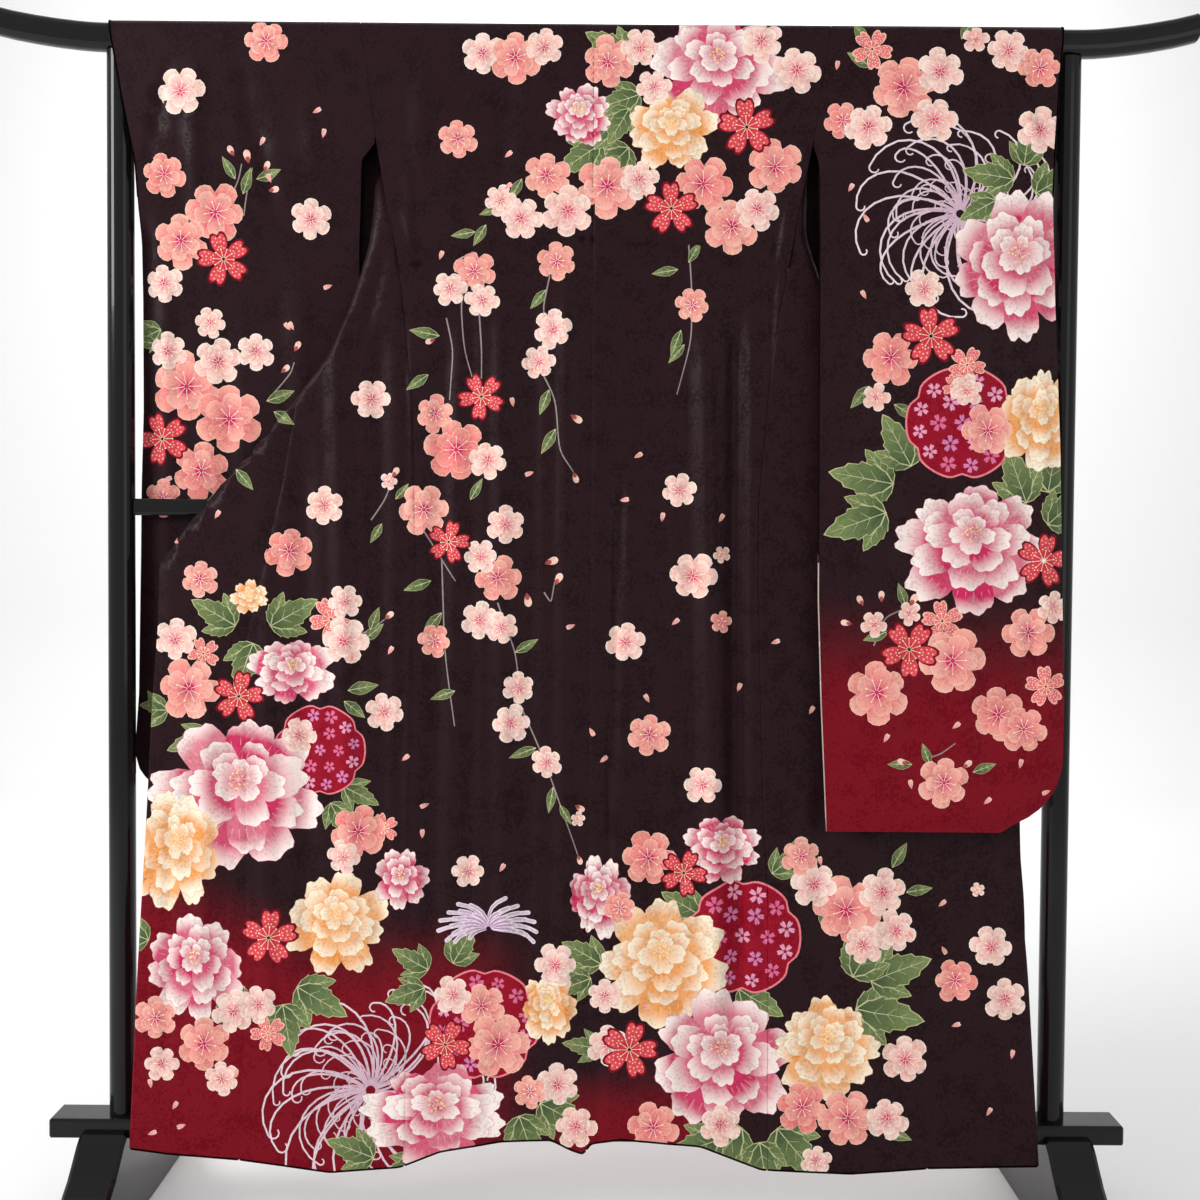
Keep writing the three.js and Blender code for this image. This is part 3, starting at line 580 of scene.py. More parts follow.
# Where each motif lies, in millimetres from the centre line and from the floor
BLOSSOMS = [  # x, z, radius, kind
    (-155, 1670, 31, 'pale'), (-110, 1665, 37, 'salmon'), (-70, 1680, 28, 'pale'),
    (20, 1660, 37, 'salmon'), (65, 1680, 28, 'pale'), (255, 1515, 40, 'salmon'),
    (-65, 1500, 34, 'salmon'), (20, 1485, 45, 'salmon'), (65, 1495, 28, 'pale'),
    (155, 1490, 42, 'salmon'), (195, 1430, 40, 'salmon'), (230, 1455, 31, 'pale'),
    (-35, 1450, 37, 'pale'), (-100, 1440, 31, 'pale'), (-190, 1550, 28, 'salmon'),
    (235, 1690, 31, 'pale'), (285, 1650, 34, 'pale'), (-130, 1465, 23, 'pale'), (85, 1625, 25, 'pale'),
    (-50, 1380, 28, 'salmon'), (-55, 1285, 28, 'pale'), (-75, 1240, 24, 'pale'),
    (-165, 1365, 31, 'salmon'), (-200, 1340, 25, 'pale'), (-155, 1325, 25, 'pale'),
    (-220, 1165, 28, 'salmon'), (-190, 1115, 45, 'salmon'), (-145, 1100, 28, 'pale'),
    (-235, 1030, 37, 'salmon'), (-120, 1010, 28, 'pale'), (-130, 935, 35, 'salmon'),
    (-155, 965, 25, 'pale'), (-155, 875, 28, 'pale'), (-125, 865, 23, 'pale'), (-220, 845, 24, 'salmon'),
    (-100, 780, 24, 'pale'), (-110, 730, 28, 'pale'), (-60, 675, 23, 'pale'), (-15, 595, 11, 'pale'),
    (140, 1320, 25, 'salmon'), (125, 1060, 25, 'pale'), (145, 940, 34, 'pale'), (50, 845, 28, 'pale'),
    (85, 715, 31, 'salmon'), (160, 645, 28, 'pale'), (185, 970, 13, 'pale'), (185, 875, 17, 'salmon'),
    (-375, 1035, 28, 'pale'), (-310, 1185, 28, 'pale'), (-550, 930, 28, 'salmon'),
    (-425, 970, 35, 'salmon'), (-290, 745, 28, 'pale'), (-170, 520, 25, 'pale'), (-285, 1070, 13, 'pale'),
    (-460, 1685, 31, 'salmon'), (-580, 1615, 34, 'pale'), (-400, 1440, 30, 'pale'),
    (-605, 1500, 31, 'salmon'), (-535, 1450, 42, 'salmon'), (-585, 1410, 40, 'salmon'),
    (-610, 1350, 28, 'pale'), (-580, 1205, 51, 'salmon'), (-520, 1160, 48, 'salmon'),
    (-535, 1240, 34, 'pale'), (-480, 1255, 28, 'pale'), (-560, 1085, 42, 'salmon'),
    (-605, 1255, 28, 'pale'), (-545, 1295, 23, 'pale'), (-615, 1045, 28, 'salmon'),
    (-565, 775, 45, 'salmon'), (-585, 845, 31, 'pale'), (-345, 845, 34, 'pale'), (-410, 710, 25, 'pale'),
    (-345, 900, 25, 'pale'), (-540, 275, 40, 'salmon'), (-610, 310, 31, 'salmon'),
    (-500, 320, 31, 'pale'), (-515, 225, 25, 'pale'), (-600, 245, 25, 'pale'), (-325, 575, 40, 'salmon'),
    (-345, 540, 25, 'pale'), (-465, 330, 28, 'pale'), (-150, 330, 34, 'salmon'),
    (-125, 275, 48, 'salmon'), (-190, 345, 28, 'pale'), (-45, 390, 31, 'pale'), (-40, 220, 31, 'pale'),
    (-15, 160, 31, 'pale'), (-80, 210, 25, 'salmon'), (85, 540, 40, 'salmon'), (365, 470, 48, 'salmon'),
    (320, 505, 34, 'pale'), (415, 495, 34, 'pale'), (435, 440, 31, 'pale'), (300, 545, 28, 'salmon'),
    (390, 420, 28, 'pale'), (30, 275, 31, 'pale'), (95, 160, 37, 'salmon'), (190, 165, 31, 'pale'),
    (305, 190, 37, 'salmon'), (370, 175, 42, 'salmon'), (425, 175, 31, 'pale'), (325, 115, 23, 'pale'),
    (25, 345, 25, 'pale'), (45, 470, 23, 'salmon'), (450, 260, 34, 'pale'), (570, 420, 31, 'pale'),
    (520, 370, 31, 'salmon'), (590, 345, 31, 'pale'), (550, 500, 10, 'pale'), (435, 1625, 48, 'salmon'),
    (485, 1650, 34, 'pale'), (350, 1580, 28, 'salmon'), (385, 1570, 34, 'pale'), (475, 1580, 34, 'pale'),
    (580, 1680, 31, 'pale'), (625, 1655, 31, 'salmon'), (625, 1565, 34, 'pale'), (535, 1695, 20, 'pale'),
    (415, 1245, 40, 'salmon'), (460, 1340, 28, 'pale'), (395, 1190, 20, 'pale'),
    (550, 1145, 37, 'salmon'), (505, 825, 48, 'salmon'), (610, 865, 37, 'salmon'),
    (400, 780, 45, 'salmon'), (570, 750, 40, 'salmon'), (605, 730, 34, 'salmon'),
    (495, 655, 37, 'salmon'), (445, 890, 17, 'pale'), (395, 875, 20, 'pale'), (645, 900, 23, 'pale'),
    (520, 1200, 23, 'pale'),
]
STARS = [  # x, z, radius
    (215, 1570, 45), (110, 1455, 42), (-155, 1190, 37), (-200, 985, 34), (-525, 1385, 42),
    (-615, 1130, 42), (-495, 765, 40), (-450, 425, 45), (-200, 275, 40), (135, 520, 37), (60, 270, 45),
    (470, 1275, 45), (630, 965, 42), (445, 840, 45),
]
SMALL_STARS = [  # x, z, radius
    (390, 1680, 31), (635, 790, 31), (490, 880, 31), (-365, 875, 34), (-545, 825, 25), (-450, 290, 28),
    (-290, 580, 23), (520, 1235, 28), (505, 1205, 20),
]
PEONIES = [  # x, z, half width, half height, kind
    (175, 1655, 96, 85, 'rose'), (110, 1565, 65, 62, 'cream'), (-20, 1585, 47, 45, 'rose'),
    (-420, 800, 62, 51, 'rose'), (-495, 625, 124, 113, 'rose'), (-580, 545, 68, 93, 'cream'),
    (-555, 380, 73, 82, 'rose'), (-355, 445, 76, 73, 'cream'), (-265, 510, 40, 45, 'rose'),
    (-210, 175, 110, 79, 'rose'), (-55, 330, 40, 54, 'cream'), (105, 390, 102, 93, 'cream'),
    (190, 555, 59, 51, 'rose'), (15, 485, 45, 62, 'rose'), (190, 255, 104, 99, 'rose'),
    (340, 275, 79, 73, 'cream'), (590, 1370, 102, 110, 'rose'), (625, 1160, 62, 79, 'cream'),
    (530, 985, 110, 96, 'rose'), (-480, 905, 28, 25, 'cream'),
]
ROUNDELS = [  # x, z, radius
    (-380, 690, 65), (-145, 305, 79), (220, 430, 82), (515, 1155, 79),
]
THREAD_FLOWERS = [  # x, z, radius
    (510, 1445, 148), (-305, 210, 172),
]
FANS = [  # x, z, radius
    (-140, 440, 62),
]
LEAVES = [  # x, z of the foot, length, direction in degrees, width over length
    (50, 1665, 62, 150, 0.5), (65, 1615, 56, 200, 0.5), (50, 1540, 62, 225, 0.5),
    (10, 1545, 62, 215, 0.5), (150, 1695, 42, 60, 0.5), (35, 1565, 56, 180, 0.5),
    (50, 1595, 51, 240, 0.5), (-130, 1455, 31, 200, 0.4), (-100, 1495, 34, 240, 0.4),
    (-65, 1340, 34, 230, 0.4), (-60, 1200, 37, 250, 0.38), (-50, 1145, 40, 240, 0.38),
    (-215, 1275, 42, 170, 0.4), (-230, 1220, 37, 215, 0.4), (-210, 885, 40, 230, 0.38),
    (-225, 930, 40, 200, 0.38), (-105, 830, 37, 30, 0.38), (-190, 775, 37, 200, 0.38),
    (-75, 695, 40, 200, 0.36), (-50, 640, 37, 260, 0.36), (-40, 615, 31, 300, 0.36),
    (120, 1370, 37, 190, 0.38), (135, 1380, 34, 60, 0.38), (125, 1285, 40, 250, 0.36),
    (130, 1265, 34, 230, 0.36), (-165, 1420, 34, 190, 0.4), (-150, 1430, 34, 240, 0.4),
    (-170, 1045, 34, 60, 0.38), (-275, 1045, 28, 50, 0.4), (-295, 1010, 31, 240, 0.4),
    (-495, 1475, 37, 70, 0.4), (-475, 1495, 37, 20, 0.4), (-505, 1495, 34, 120, 0.4),
    (-615, 1285, 48, 200, 0.42), (-620, 1265, 42, 170, 0.42), (-465, 1185, 42, 20, 0.42),
    (-455, 1170, 42, 330, 0.42), (-500, 1085, 37, 310, 0.42), (-530, 1075, 37, 250, 0.42),
    (-500, 865, 62, 150, 0.5), (-450, 865, 65, 30, 0.5), (-475, 840, 62, 250, 0.5),
    (-535, 710, 56, 200, 0.45), (-595, 745, 51, 180, 0.45), (-340, 775, 42, 10, 0.45),
    (-345, 760, 37, 320, 0.45), (-620, 730, 42, 120, 0.45), (-320, 845, 37, 40, 0.42),
    (-310, 860, 34, 70, 0.42), (-365, 615, 48, 300, 0.45), (-345, 640, 48, 330, 0.45),
    (-620, 420, 54, 160, 0.5), (-410, 355, 71, 330, 0.5), (-430, 330, 65, 280, 0.5),
    (-485, 355, 56, 230, 0.5), (-225, 380, 51, 150, 0.5), (-190, 390, 51, 60, 0.5),
    (-230, 355, 51, 200, 0.5), (-65, 195, 71, 330, 0.5), (-95, 175, 65, 290, 0.5),
    (-300, 115, 62, 160, 0.5), (-235, 110, 56, 210, 0.5), (20, 390, 56, 150, 0.5), (5, 370, 48, 200, 0.5),
    (380, 330, 85, 350, 0.5), (400, 370, 79, 20, 0.5), (375, 375, 71, 60, 0.5), (220, 160, 79, 230, 0.5),
    (190, 145, 71, 200, 0.5), (270, 160, 79, 310, 0.5), (245, 140, 65, 280, 0.5),
    (160, 460, 56, 150, 0.5), (260, 520, 48, 40, 0.45), (280, 530, 42, 70, 0.45),
    (420, 160, 42, 340, 0.42), (215, 355, 62, 330, 0.5), (20, 270, 48, 170, 0.45),
    (430, 530, 40, 60, 0.42), (450, 495, 37, 10, 0.42), (330, 470, 48, 330, 0.45),
    (585, 1495, 62, 170, 0.5), (615, 1475, 62, 30, 0.5), (600, 1515, 51, 80, 0.5),
    (560, 1465, 51, 210, 0.5), (390, 1655, 40, 150, 0.42), (515, 1695, 40, 60, 0.42),
    (380, 1685, 40, 110, 0.42), (420, 1070, 79, 170, 0.5), (410, 1030, 79, 200, 0.5),
    (445, 1095, 71, 120, 0.5), (635, 1060, 79, 80, 0.5), (605, 1045, 71, 110, 0.5),
    (635, 1015, 65, 40, 0.5), (385, 1205, 40, 230, 0.42), (420, 1180, 40, 330, 0.42),
    (415, 865, 37, 200, 0.42), (440, 900, 34, 110, 0.42), (450, 680, 34, 180, 0.42),
    (535, 670, 34, 20, 0.42), (475, 680, 31, 110, 0.42),
]
STEMS = [  # x, z of each point in turn
    (-170, 1380, -185, 1325, -180, 1255, -160, 1190), (-160, 1325, -155, 1255, -155, 1215),
    (-60, 1360, -70, 1310, -50, 1270), (-70, 1225, -50, 1185, -45, 1115, -25, 1085),
    (135, 1405, 140, 1340, 140, 1270, 120, 1195), (-205, 1300, -195, 1255, -200, 1185),
    (-235, 1000, -210, 960, -190, 930), (-210, 960, -205, 830, -190, 725),
    (-100, 760, -70, 695, -45, 630, -15, 545), (-130, 900, -105, 830, -100, 790),
    (-495, 1445, -490, 1475, -480, 1510), (-515, 1465, -500, 1495, -495, 1515),
    (-465, 1185, -430, 1225, -425, 1240), (-65, 915, -55, 900, -50, 930),
    (-310, 1015, -290, 1045, -280, 1070), (395, 845, 410, 885, 445, 900),
    (-345, 845, -310, 860, -290, 875), (475, 690, 490, 695, 510, 710),
]
BUDS = [  # x, z, length, direction
    (-485, 1515, 13, 100), (-465, 1505, 11, 60), (-460, 1480, 11, 10), (-505, 1525, 11, 120),
    (-25, 1085, 11, 290), (-30, 1165, 13, 330), (-15, 545, 10, 290), (-50, 925, 13, 60),
    (-65, 955, 14, 20), (-90, 915, 14, 280), (-290, 875, 11, 40), (-280, 1075, 11, 60),
    (380, 900, 11, 120), (405, 905, 11, 90), (445, 900, 13, 60), (365, 875, 11, 170), (-20, 615, 11, 330),
    (-220, 1270, 10, 200), (-425, 1255, 11, 60), (-445, 1225, 11, 40), (445, 680, 11, 160),
    (520, 675, 11, 40),
]
LOOSE_PETALS = [  # x, z, direction
    (-395, 1585, 30), (-380, 1550, 80), (-370, 1350, 200), (-425, 1285, 120), (-615, 1070, 20),
    (-215, 1380, 70), (-125, 1480, 40), (-110, 1175, 100), (60, 1105, 30), (100, 1015, 80),
    (180, 1015, 60), (-20, 870, 200), (115, 870, 40), (85, 760, 120), (40, 1045, 10), (210, 775, 70),
    (255, 845, 20), (310, 745, 60), (0, 725, 300), (330, 530, 100), (15, 675, 40), (410, 710, 60),
    (450, 645, 100), (550, 625, 40), (600, 675, 80), (645, 645, 200), (505, 730, 40), (-615, 210, 100),
    (-585, 180, 60), (-620, 145, 20), (-565, 160, 200), (-495, 225, 90), (-125, 520, 60),
    (-225, 615, 200), (-235, 565, 90), (-285, 825, 60), (500, 420, 300), (515, 305, 20), (565, 180, 60),
    (460, 430, 120), (600, 260, 80), (495, 475, 40), (355, 1475, 60), (375, 1445, 300), (635, 1420, 40),
    (380, 1325, 120), (340, 1650, 80), (-530, 1015, 60), (-580, 980, 150), (-145, 240, 60),
    (-125, 1525, 40), (-80, 1085, 200), (-265, 675, 40), (-335, 815, 90), (75, 330, 0), (-430, 1285, 130),
    (-470, 1540, 60), (-455, 1490, 110),
]

# Only a small leaf is single
TUFT_LENGTH = 45


def foliage(x, z, length, degrees, share):
    draw = tuft if length > TUFT_LENGTH else leaf
    draw(x, z, length, degrees, share)


def seeded(draw, **more):
    return lambda *row: draw(*row, seed=len(shapes), **more)


# The layers of the print, the lowest first
LAYERS = (
    (stem, STEMS), (seeded(thread_flower), THREAD_FLOWERS), (foliage, LEAVES), (seeded(roundel), ROUNDELS),
    (seeded(fan), FANS), (seeded(star, small=True), SMALL_STARS), (seeded(peony), PEONIES),
    (seeded(blossom), BLOSSOMS), (seeded(star), STARS), (bud, BUDS), (loose_petal, LOOSE_PETALS),
)
# The height of each shape's own motif tells which side of the tuck it was printed on
homes = []
for draw, rows in LAYERS:
    for row in rows:
        draw(*row)
        homes.extend([row[1]] * (len(shapes) - len(homes)))


# The ground: dark brown, running into crimson low on the right sleeve and at the hem
def ground(x, z, part):
    if part == "sleeve":
        red = step((930 - z) / 190) * np.where(x > 0, 1.0, 0.0)
    else:
        left_top = 470 + 110 * np.clip((-x - 400) / 220, 0, 1)
        red = step((left_top - z) / 150) * step((-60 - x) / 130)
        red = np.maximum(red, 0.9 * step((255 - z) / 90) * step((x + 70) / 60) * step((230 - x) / 90))
        red = np.maximum(red, step((-250 - x) / 260) * step((480 - z) / 160))
    return DARK[None, :] + (CRIMSON - DARK)[None, :] * red[:, None]


# Figured silk: a fine damask in tone and gloss, a crepe grain and faint broad creases. With no
# colour given it shows the print.
def silk(name, colour=None, gloss_from=0.56, gloss_to=0.42):
    material = bpy.data.materials.new(name)
    material.use_nodes = True
    nodes, links = material.node_tree.nodes, material.node_tree.links
    shader = nodes["Principled BSDF"]
    shader.inputs["Sheen Weight"].default_value = 0.02
    shader.inputs["Sheen Roughness"].default_value = 0.4
    shader.inputs["Specular IOR Level"].default_value = 0.09
    place = nodes.new("ShaderNodeTexCoord")

    def noise(scale, detail):
        grain = nodes.new("ShaderNodeTexNoise")
        grain.inputs["Scale"].default_value = scale
        grain.inputs["Detail"].default_value = detail
        links.new(place.outputs["Object"], grain.inputs["Vector"])
        return grain.outputs["Fac"]

    def specks_to(low, high):
        ramp = nodes.new("ShaderNodeMapRange")
        ramp.inputs["To Min"].default_value = low
        ramp.inputs["To Max"].default_value = high
        links.new(specks.outputs["Result"], ramp.inputs["Value"])
        return ramp.outputs["Result"]

    def bump(height, strength, distance):
        relief = nodes.new("ShaderNodeBump")
        relief.inputs["Strength"].default_value = strength
        relief.inputs["Distance"].default_value = distance
        links.new(height, relief.inputs["Height"])
        return relief

    figure = nodes.new("ShaderNodeTexVoronoi")
    figure.inputs["Scale"].default_value = 210.0
    links.new(place.outputs["Object"], figure.inputs["Vector"])
    sum_up = nodes.new("ShaderNodeMath")
    sum_up.operation = "MULTIPLY_ADD"
    links.new(figure.outputs["Distance"], sum_up.inputs[0])
    sum_up.inputs[1].default_value = 0.62
    links.new(noise(34.0, 3.0), sum_up.inputs[2])
    specks = nodes.new("ShaderNodeMapRange")
    specks.inputs["From Min"].default_value = 0.66
    specks.inputs["From Max"].default_value = 0.8
    links.new(sum_up.outputs[0], specks.inputs["Value"])

    # The figure also lifts the colour a little, which shows on the dark ground alone: painted sheen for the
    # damask's gloss, and a warmer tone of the ground
    sheen_and_warm_lift = nodes.new("ShaderNodeVectorMath")
    sheen_and_warm_lift.operation = "SCALE"
    sheen_and_warm_lift.inputs[0].default_value = (0.0048, 0.0028, 0.0034)
    links.new(specks.outputs["Result"], sheen_and_warm_lift.inputs["Scale"])
    tint = nodes.new("ShaderNodeVectorMath")
    tint.operation = "MULTIPLY_ADD"
    if colour is None:
        source = nodes.new("ShaderNodeAttribute")
        source.attribute_name = "print"
        links.new(source.outputs["Color"], tint.inputs[0])
    else:
        tint.inputs[0].default_value = colour
    links.new(specks_to(0.93, 1.12), tint.inputs[1])
    links.new(sheen_and_warm_lift.outputs["Vector"], tint.inputs[2])
    links.new(tint.outputs["Vector"], shader.inputs["Base Color"])
    links.new(specks_to(gloss_from, gloss_to), shader.inputs["Roughness"])

    crepe = bump(noise(1500.0, 2.0), 0.25, 0.0003)
    creases = bump(noise(18.0, 4.0), 0.35, 0.004)
    links.new(crepe.outputs["Normal"], creases.inputs["Normal"])
    links.new(creases.outputs["Normal"], shader.inputs["Normal"])
    return material


printed = silk("printed_silk")
lining = silk("lining_silk", shade(238, 224, 212))
lining_red = silk("lining_crimson", shade(150, 6, 32))
hem_roll = silk("hem_roll_silk", shade(132, 6, 30), 0.5, 0.4)
RED_LINING_TOP = 560
PRINT_SLOT, INSIDE_SLOT, EDGE_SLOT, RED_SLOT, ROLL_SLOT = range(5)


# True where the polygon rim holds the points
def holds(rim, points):
    x, v = points[:, 0][:, None], points[:, 1][:, None]
    after = np.roll(rim, -1, axis=0)
    rise = np.where(after[:, 1] == rim[:, 1], 1e-9, after[:, 1] - rim[:, 1])
    at = rim[:, 0] + (v - rim[:, 1]) * (after[:, 0] - rim[:, 0]) / rise
    crossed = ((rim[:, 1] > v) != (after[:, 1] > v)) & (x < at)
    return np.sum(crossed, axis=1) % 2 == 1


# Rows of flat points over a panel, between its left and right edges, from its low edge up
def rows_over(left, right, low, high, spacing):
    top_left, top_right = float(left(high)), float(right(high))
    wide = abs(top_right - top_left)
    across = np.linspace(0, 1, max(6, int(wide / spacing)) + 1)
    for reach in (1.2, 3.0, 6.0):
        across = np.append(across, [reach / wide, 1 - reach / wide])
    across = np.unique(np.round(across, 5))
    bottom = float(low(np.array([(top_left + top_right) / 2]))[0])
    levels = np.linspace(0, 1, max(8, int((high - bottom) / spacing)) + 1)
    v = np.repeat((bottom + (high - bottom) * levels)[:, None], len(across), axis=1)
    for _ in range(4):
        x = left(v) + (right(v) - left(v)) * across[None, :]
        foot = low(x)
        v = foot + (high - foot) * levels[:, None]
    x = left(v) + (right(v) - left(v)) * across[None, :]
    return np.stack([x, v], axis=2)


# The printed shapes that meet a panel, each with its rim, its dye and the side of the cut line
# that it is printed on. A folded length has them a second time, turned round, on its far side.
def shapes_on(outline, copies, cut):
    nothing = np.zeros(3)
    rims, dyes, sides = [outline], [(nothing, nothing, np.zeros(2), 1.0, 1.0, 0.0)], [0]
    box_low, box_high = outline.min(axis=0), outline.max(axis=0)
    for way, turned in copies:
        for (rim, inner, outer, centre, reach, power, start), home in zip(shapes, homes):
            side = 0
            if cut is not None:
                side = 1 if home > float(cut(centre[0])) else -1
            rim, centre = rim * (way, 1), centre * (way, 1)
            if turned is not None:
                rim, centre = rim * (1, -1) + (0, turned), centre * (1, -1) + (0, turned)
            if (rim.max(axis=0) < box_low).any() or (rim.min(axis=0) > box_high).any():
                continue
            area = np.sum(rim[:, 0] * np.roll(rim[:, 1], -1) - rim[:, 1] * np.roll(rim[:, 0], -1))
            rims.append(rim if area > 0 else rim[::-1])
            dyes.append((inner, outer, centre, reach, power, start))
            sides.append(side)
    return rims, dyes, sides


# For each cell the topmost shape that holds its middle: 0 is the ground, -1 is off the panel
def top_shapes(middles, owners, rims, sides, cut):
    tops = np.where(holds(rims[0], middles), 0, -1)
    above = np.sign(middles[:, 1] - cut(middles[:, 0])) if cut is not None else None
    ranked = [sorted(owner) for owner in owners]
    waiting = {}
    for k in np.flatnonzero(tops == 0):
        waiting.setdefault(ranked[k].pop(), []).append(int(k))
    while waiting:
        top = max(waiting)
        held = np.array(waiting.pop(top))
        if top == 0:
            continue
        fine = holds(rims[top], middles[held])
        if sides[top]:
            fine &= above[held] == sides[top]
        tops[held[fine]] = top
        for k in held[~fine]:
            waiting.setdefault(ranked[k].pop() if ranked[k] else 0, []).append(int(k))
    return tops


# The cloth cut again along the lines between colours alone, each cell with its shape
def cut_again(flat, cells, sources, tops, grid_count):
    label = {}
    for cell, top in zip(cells[tops >= 0].tolist(), tops[tops >= 0].tolist()):
        for k in range(3):
            label[(cell[k], cell[(k + 1) % 3])] = top
    colour_lines = {(a, b) for (a, b), top in label.items() if label.get((b, a), -1) != top}
    needed = {a for line in colour_lines for a in line}
    needed.update(k for k, source in enumerate(sources) if any(s < grid_count for s in source))
    needed = sorted(needed)
    number = {k: place for place, k in enumerate(needed)}
    once = sorted({(number[min(line)], number[max(line)]) for line in colour_lines})
    spots = [Vector(flat[k]) for k in needed]
    recut, lines, triangles, _, line_sources, _ = delaunay_2d_cdt(spots, once, [], 0, 1e-6, True)
    left_of = {}
    for (a, b), source in zip(lines, line_sources):
        if source:
            first, last = (needed[k] for k in once[source[0]])
            if (recut[b] - recut[a]).dot(Vector(flat[last] - flat[first])) < 0:
                first, last = last, first
            left_of[(a, b)] = label.get((first, last), -1)
            left_of[(b, a)] = label.get((last, first), -1)
    # Cells beside a line take its label, and pass it on to the cells around them
    shape_of, beside = [-1] * len(triangles), {}
    for k, cell in enumerate(triangles):
        for n in range(3):
            line = (cell[n], cell[(n + 1) % 3])
            beside[line] = k
            shape_of[k] = max(shape_of[k], left_of.get(line, -1))
    frontier = [k for k, shape in enumerate(shape_of) if shape >= 0]
    while frontier:
        k = frontier.pop()
        for n in range(3):
            line = (triangles[k][n], triangles[k][(n + 1) % 3])
            other = beside.get(line[::-1])
            if other is not None and shape_of[other] < 0 and line not in left_of:
                shape_of[other] = shape_of[k]
                frontier.append(other)
    shape_of = np.array(shape_of)
    on_panel = shape_of >= 0
    kept, triangles = np.unique(np.array(triangles)[on_panel], return_inverse=True)
    return np.array([tuple(p) for p in recut])[kept], triangles.reshape(-1, 3), shape_of[on_panel]


# The colour of each corner of each cell, blended outward from the middle of its shape
def dyed(flat, triangles, tops, dyes, ground_colours):
    inner, outer, centre, reach, power, start = (np.array([dye[k] for dye in dyes])[tops] for k in range(6))
    far = np.linalg.norm(flat[triangles] - centre[:, None, :], axis=2) / reach[:, None]
    share = np.clip((far - start[:, None]) / (1 - start[:, None]), 0, 1) ** power[:, None]
    colours = inner[:, None, :] + (outer - inner)[:, None, :] * share[:, :, None]
    return np.where((tops == 0)[:, None, None], ground_colours[triangles], colours)


# The lining: a coarser net that meets the printed side's border, point for point
def lining_net(outline, inner_points, flat, rim):
    border = sorted({a for line in rim for a in line})
    order = {k: n for n, k in enumerate(border)}
    spots = [Vector(p) for p in np.concatenate([flat[border], inner_points])]
    border_lines = [(order[a], order[b]) for a, b in rim]
    coarse, _, cells, sources, _, _ = delaunay_2d_cdt(spots, border_lines, [], 0, 1e-6, True)
    coarse, cells = np.array([tuple(p) for p in coarse]), np.array(cells)
    cells = cells[holds(outline, coarse[cells].mean(axis=1))]
    met = {source: k for k, near in enumerate(sources) for source in near}
    return coarse, cells, {k: met[order[k]] for k in border}


# One panel: a flat outline cut through by every printed shape that meets it, then hung.
# Shapes printed on one side of the cut line stop there.
def panel(left, right, low, high, hang, colour, copies=((1, None),), lines=(), cut=None, spacing=11.0):
    grid = rows_over(left, right, low, high, spacing)
    outline = np.concatenate([grid[0], grid[1:, -1], grid[-1, -2::-1], grid[-2:0:-1, 0]])
    inner_points = grid[1:-1, 1:-1].reshape(-1, 2)
    points = outline.tolist() + inner_points.tolist()
    faces, edges, grid_count = [list(range(len(outline)))], [], len(points)
    for line in lines:
        edges.extend((len(points) + k, len(points) + k + 1) for k in range(len(line) - 1))
        points.extend(line)
    rims, dyes, sides = shapes_on(outline, copies, cut)
    for rim in rims[1:]:
        faces.append(list(range(len(points), len(points) + len(rim))))
        points.extend(rim.tolist())
    spots = [Vector(p) for p in points]
    flat, _, cells, sources, _, owners = delaunay_2d_cdt(spots, edges, faces, 1, 0.004, True)
    flat, cells = np.array([tuple(p) for p in flat]), np.array(cells)
    tops = top_shapes(flat[cells].mean(axis=1), owners, rims, sides, cut)
    flat, triangles, tops = cut_again(flat, cells, sources, tops, grid_count)
    place, normals = hung(hang, flat)
    colours = dyed(flat, triangles, tops, dyes, colour(flat[:, 0], flat[:, 1]))
    rim = open_edges(triangles)
    coarse, coarse_cells, partner = lining_net(outline, inner_points, flat, rim)
    return place, normals, triangles, colours, rim, (*hung(hang, coarse), coarse_cells, partner)


def unit(vectors):
    return vectors / np.maximum(np.linalg.norm(vectors, axis=1, keepdims=True), 1e-9)


def hung(hang, flat):
    du = hang(flat[:, 0] + 0.3, flat[:, 1]) - hang(flat[:, 0] - 0.3, flat[:, 1])
    dv = hang(flat[:, 0], flat[:, 1] + 0.3) - hang(flat[:, 0], flat[:, 1] - 0.3)
    return hang(flat[:, 0], flat[:, 1]), unit(np.cross(du, dv))


# Triangles over rows and columns of points
def net(grid):
    rows, columns = grid.shape[:2]
    number = np.arange(rows * columns).reshape(rows, columns)
    a, b, c, d = number[:-1, :-1], number[:-1, 1:], number[1:, 1:], number[1:, :-1]
    return np.concatenate([np.stack(t, axis=2).reshape(-1, 3) for t in ((a, b, c), (a, c, d))])


def open_edges(triangles):
    walked = {(int(cell[k]), int(cell[(k + 1) % 3])) for cell in triangles for k in range(3)}
    return [(a, b) for a, b in walked if (b, a) not in walked]


# A panel with no print, through rows of points already hung
def plain_panel(grid, colour):
    normals = unit(np.cross(np.gradient(grid, axis=1), np.gradient(grid, axis=0)).reshape(-1, 3))
    place, triangles = grid.reshape(-1, 3), net(grid)
    colours = np.broadcast_to(colour, (len(triangles), 3, 3))
    rim = open_edges(triangles)
    partner = {a: a for line in rim for a in line}
    return place, normals, triangles, colours, rim, (place, normals, triangles, partner)


# A thin roll of cloth along a line of points
def roll(line, radius, sides=8):
    run = unit(np.gradient(line, axis=0))
    out = unit(np.cross(run, (0.0, 1.0, 0.0)))
    other = np.cross(run, out)
    turns = np.arange(sides) * math.tau / sides
    ring = np.cos(turns)[None, :, None] * out[:, None, :] + np.sin(turns)[None, :, None] * other[:, None, :]
    return line[:, None, :] + ring * radius, ring
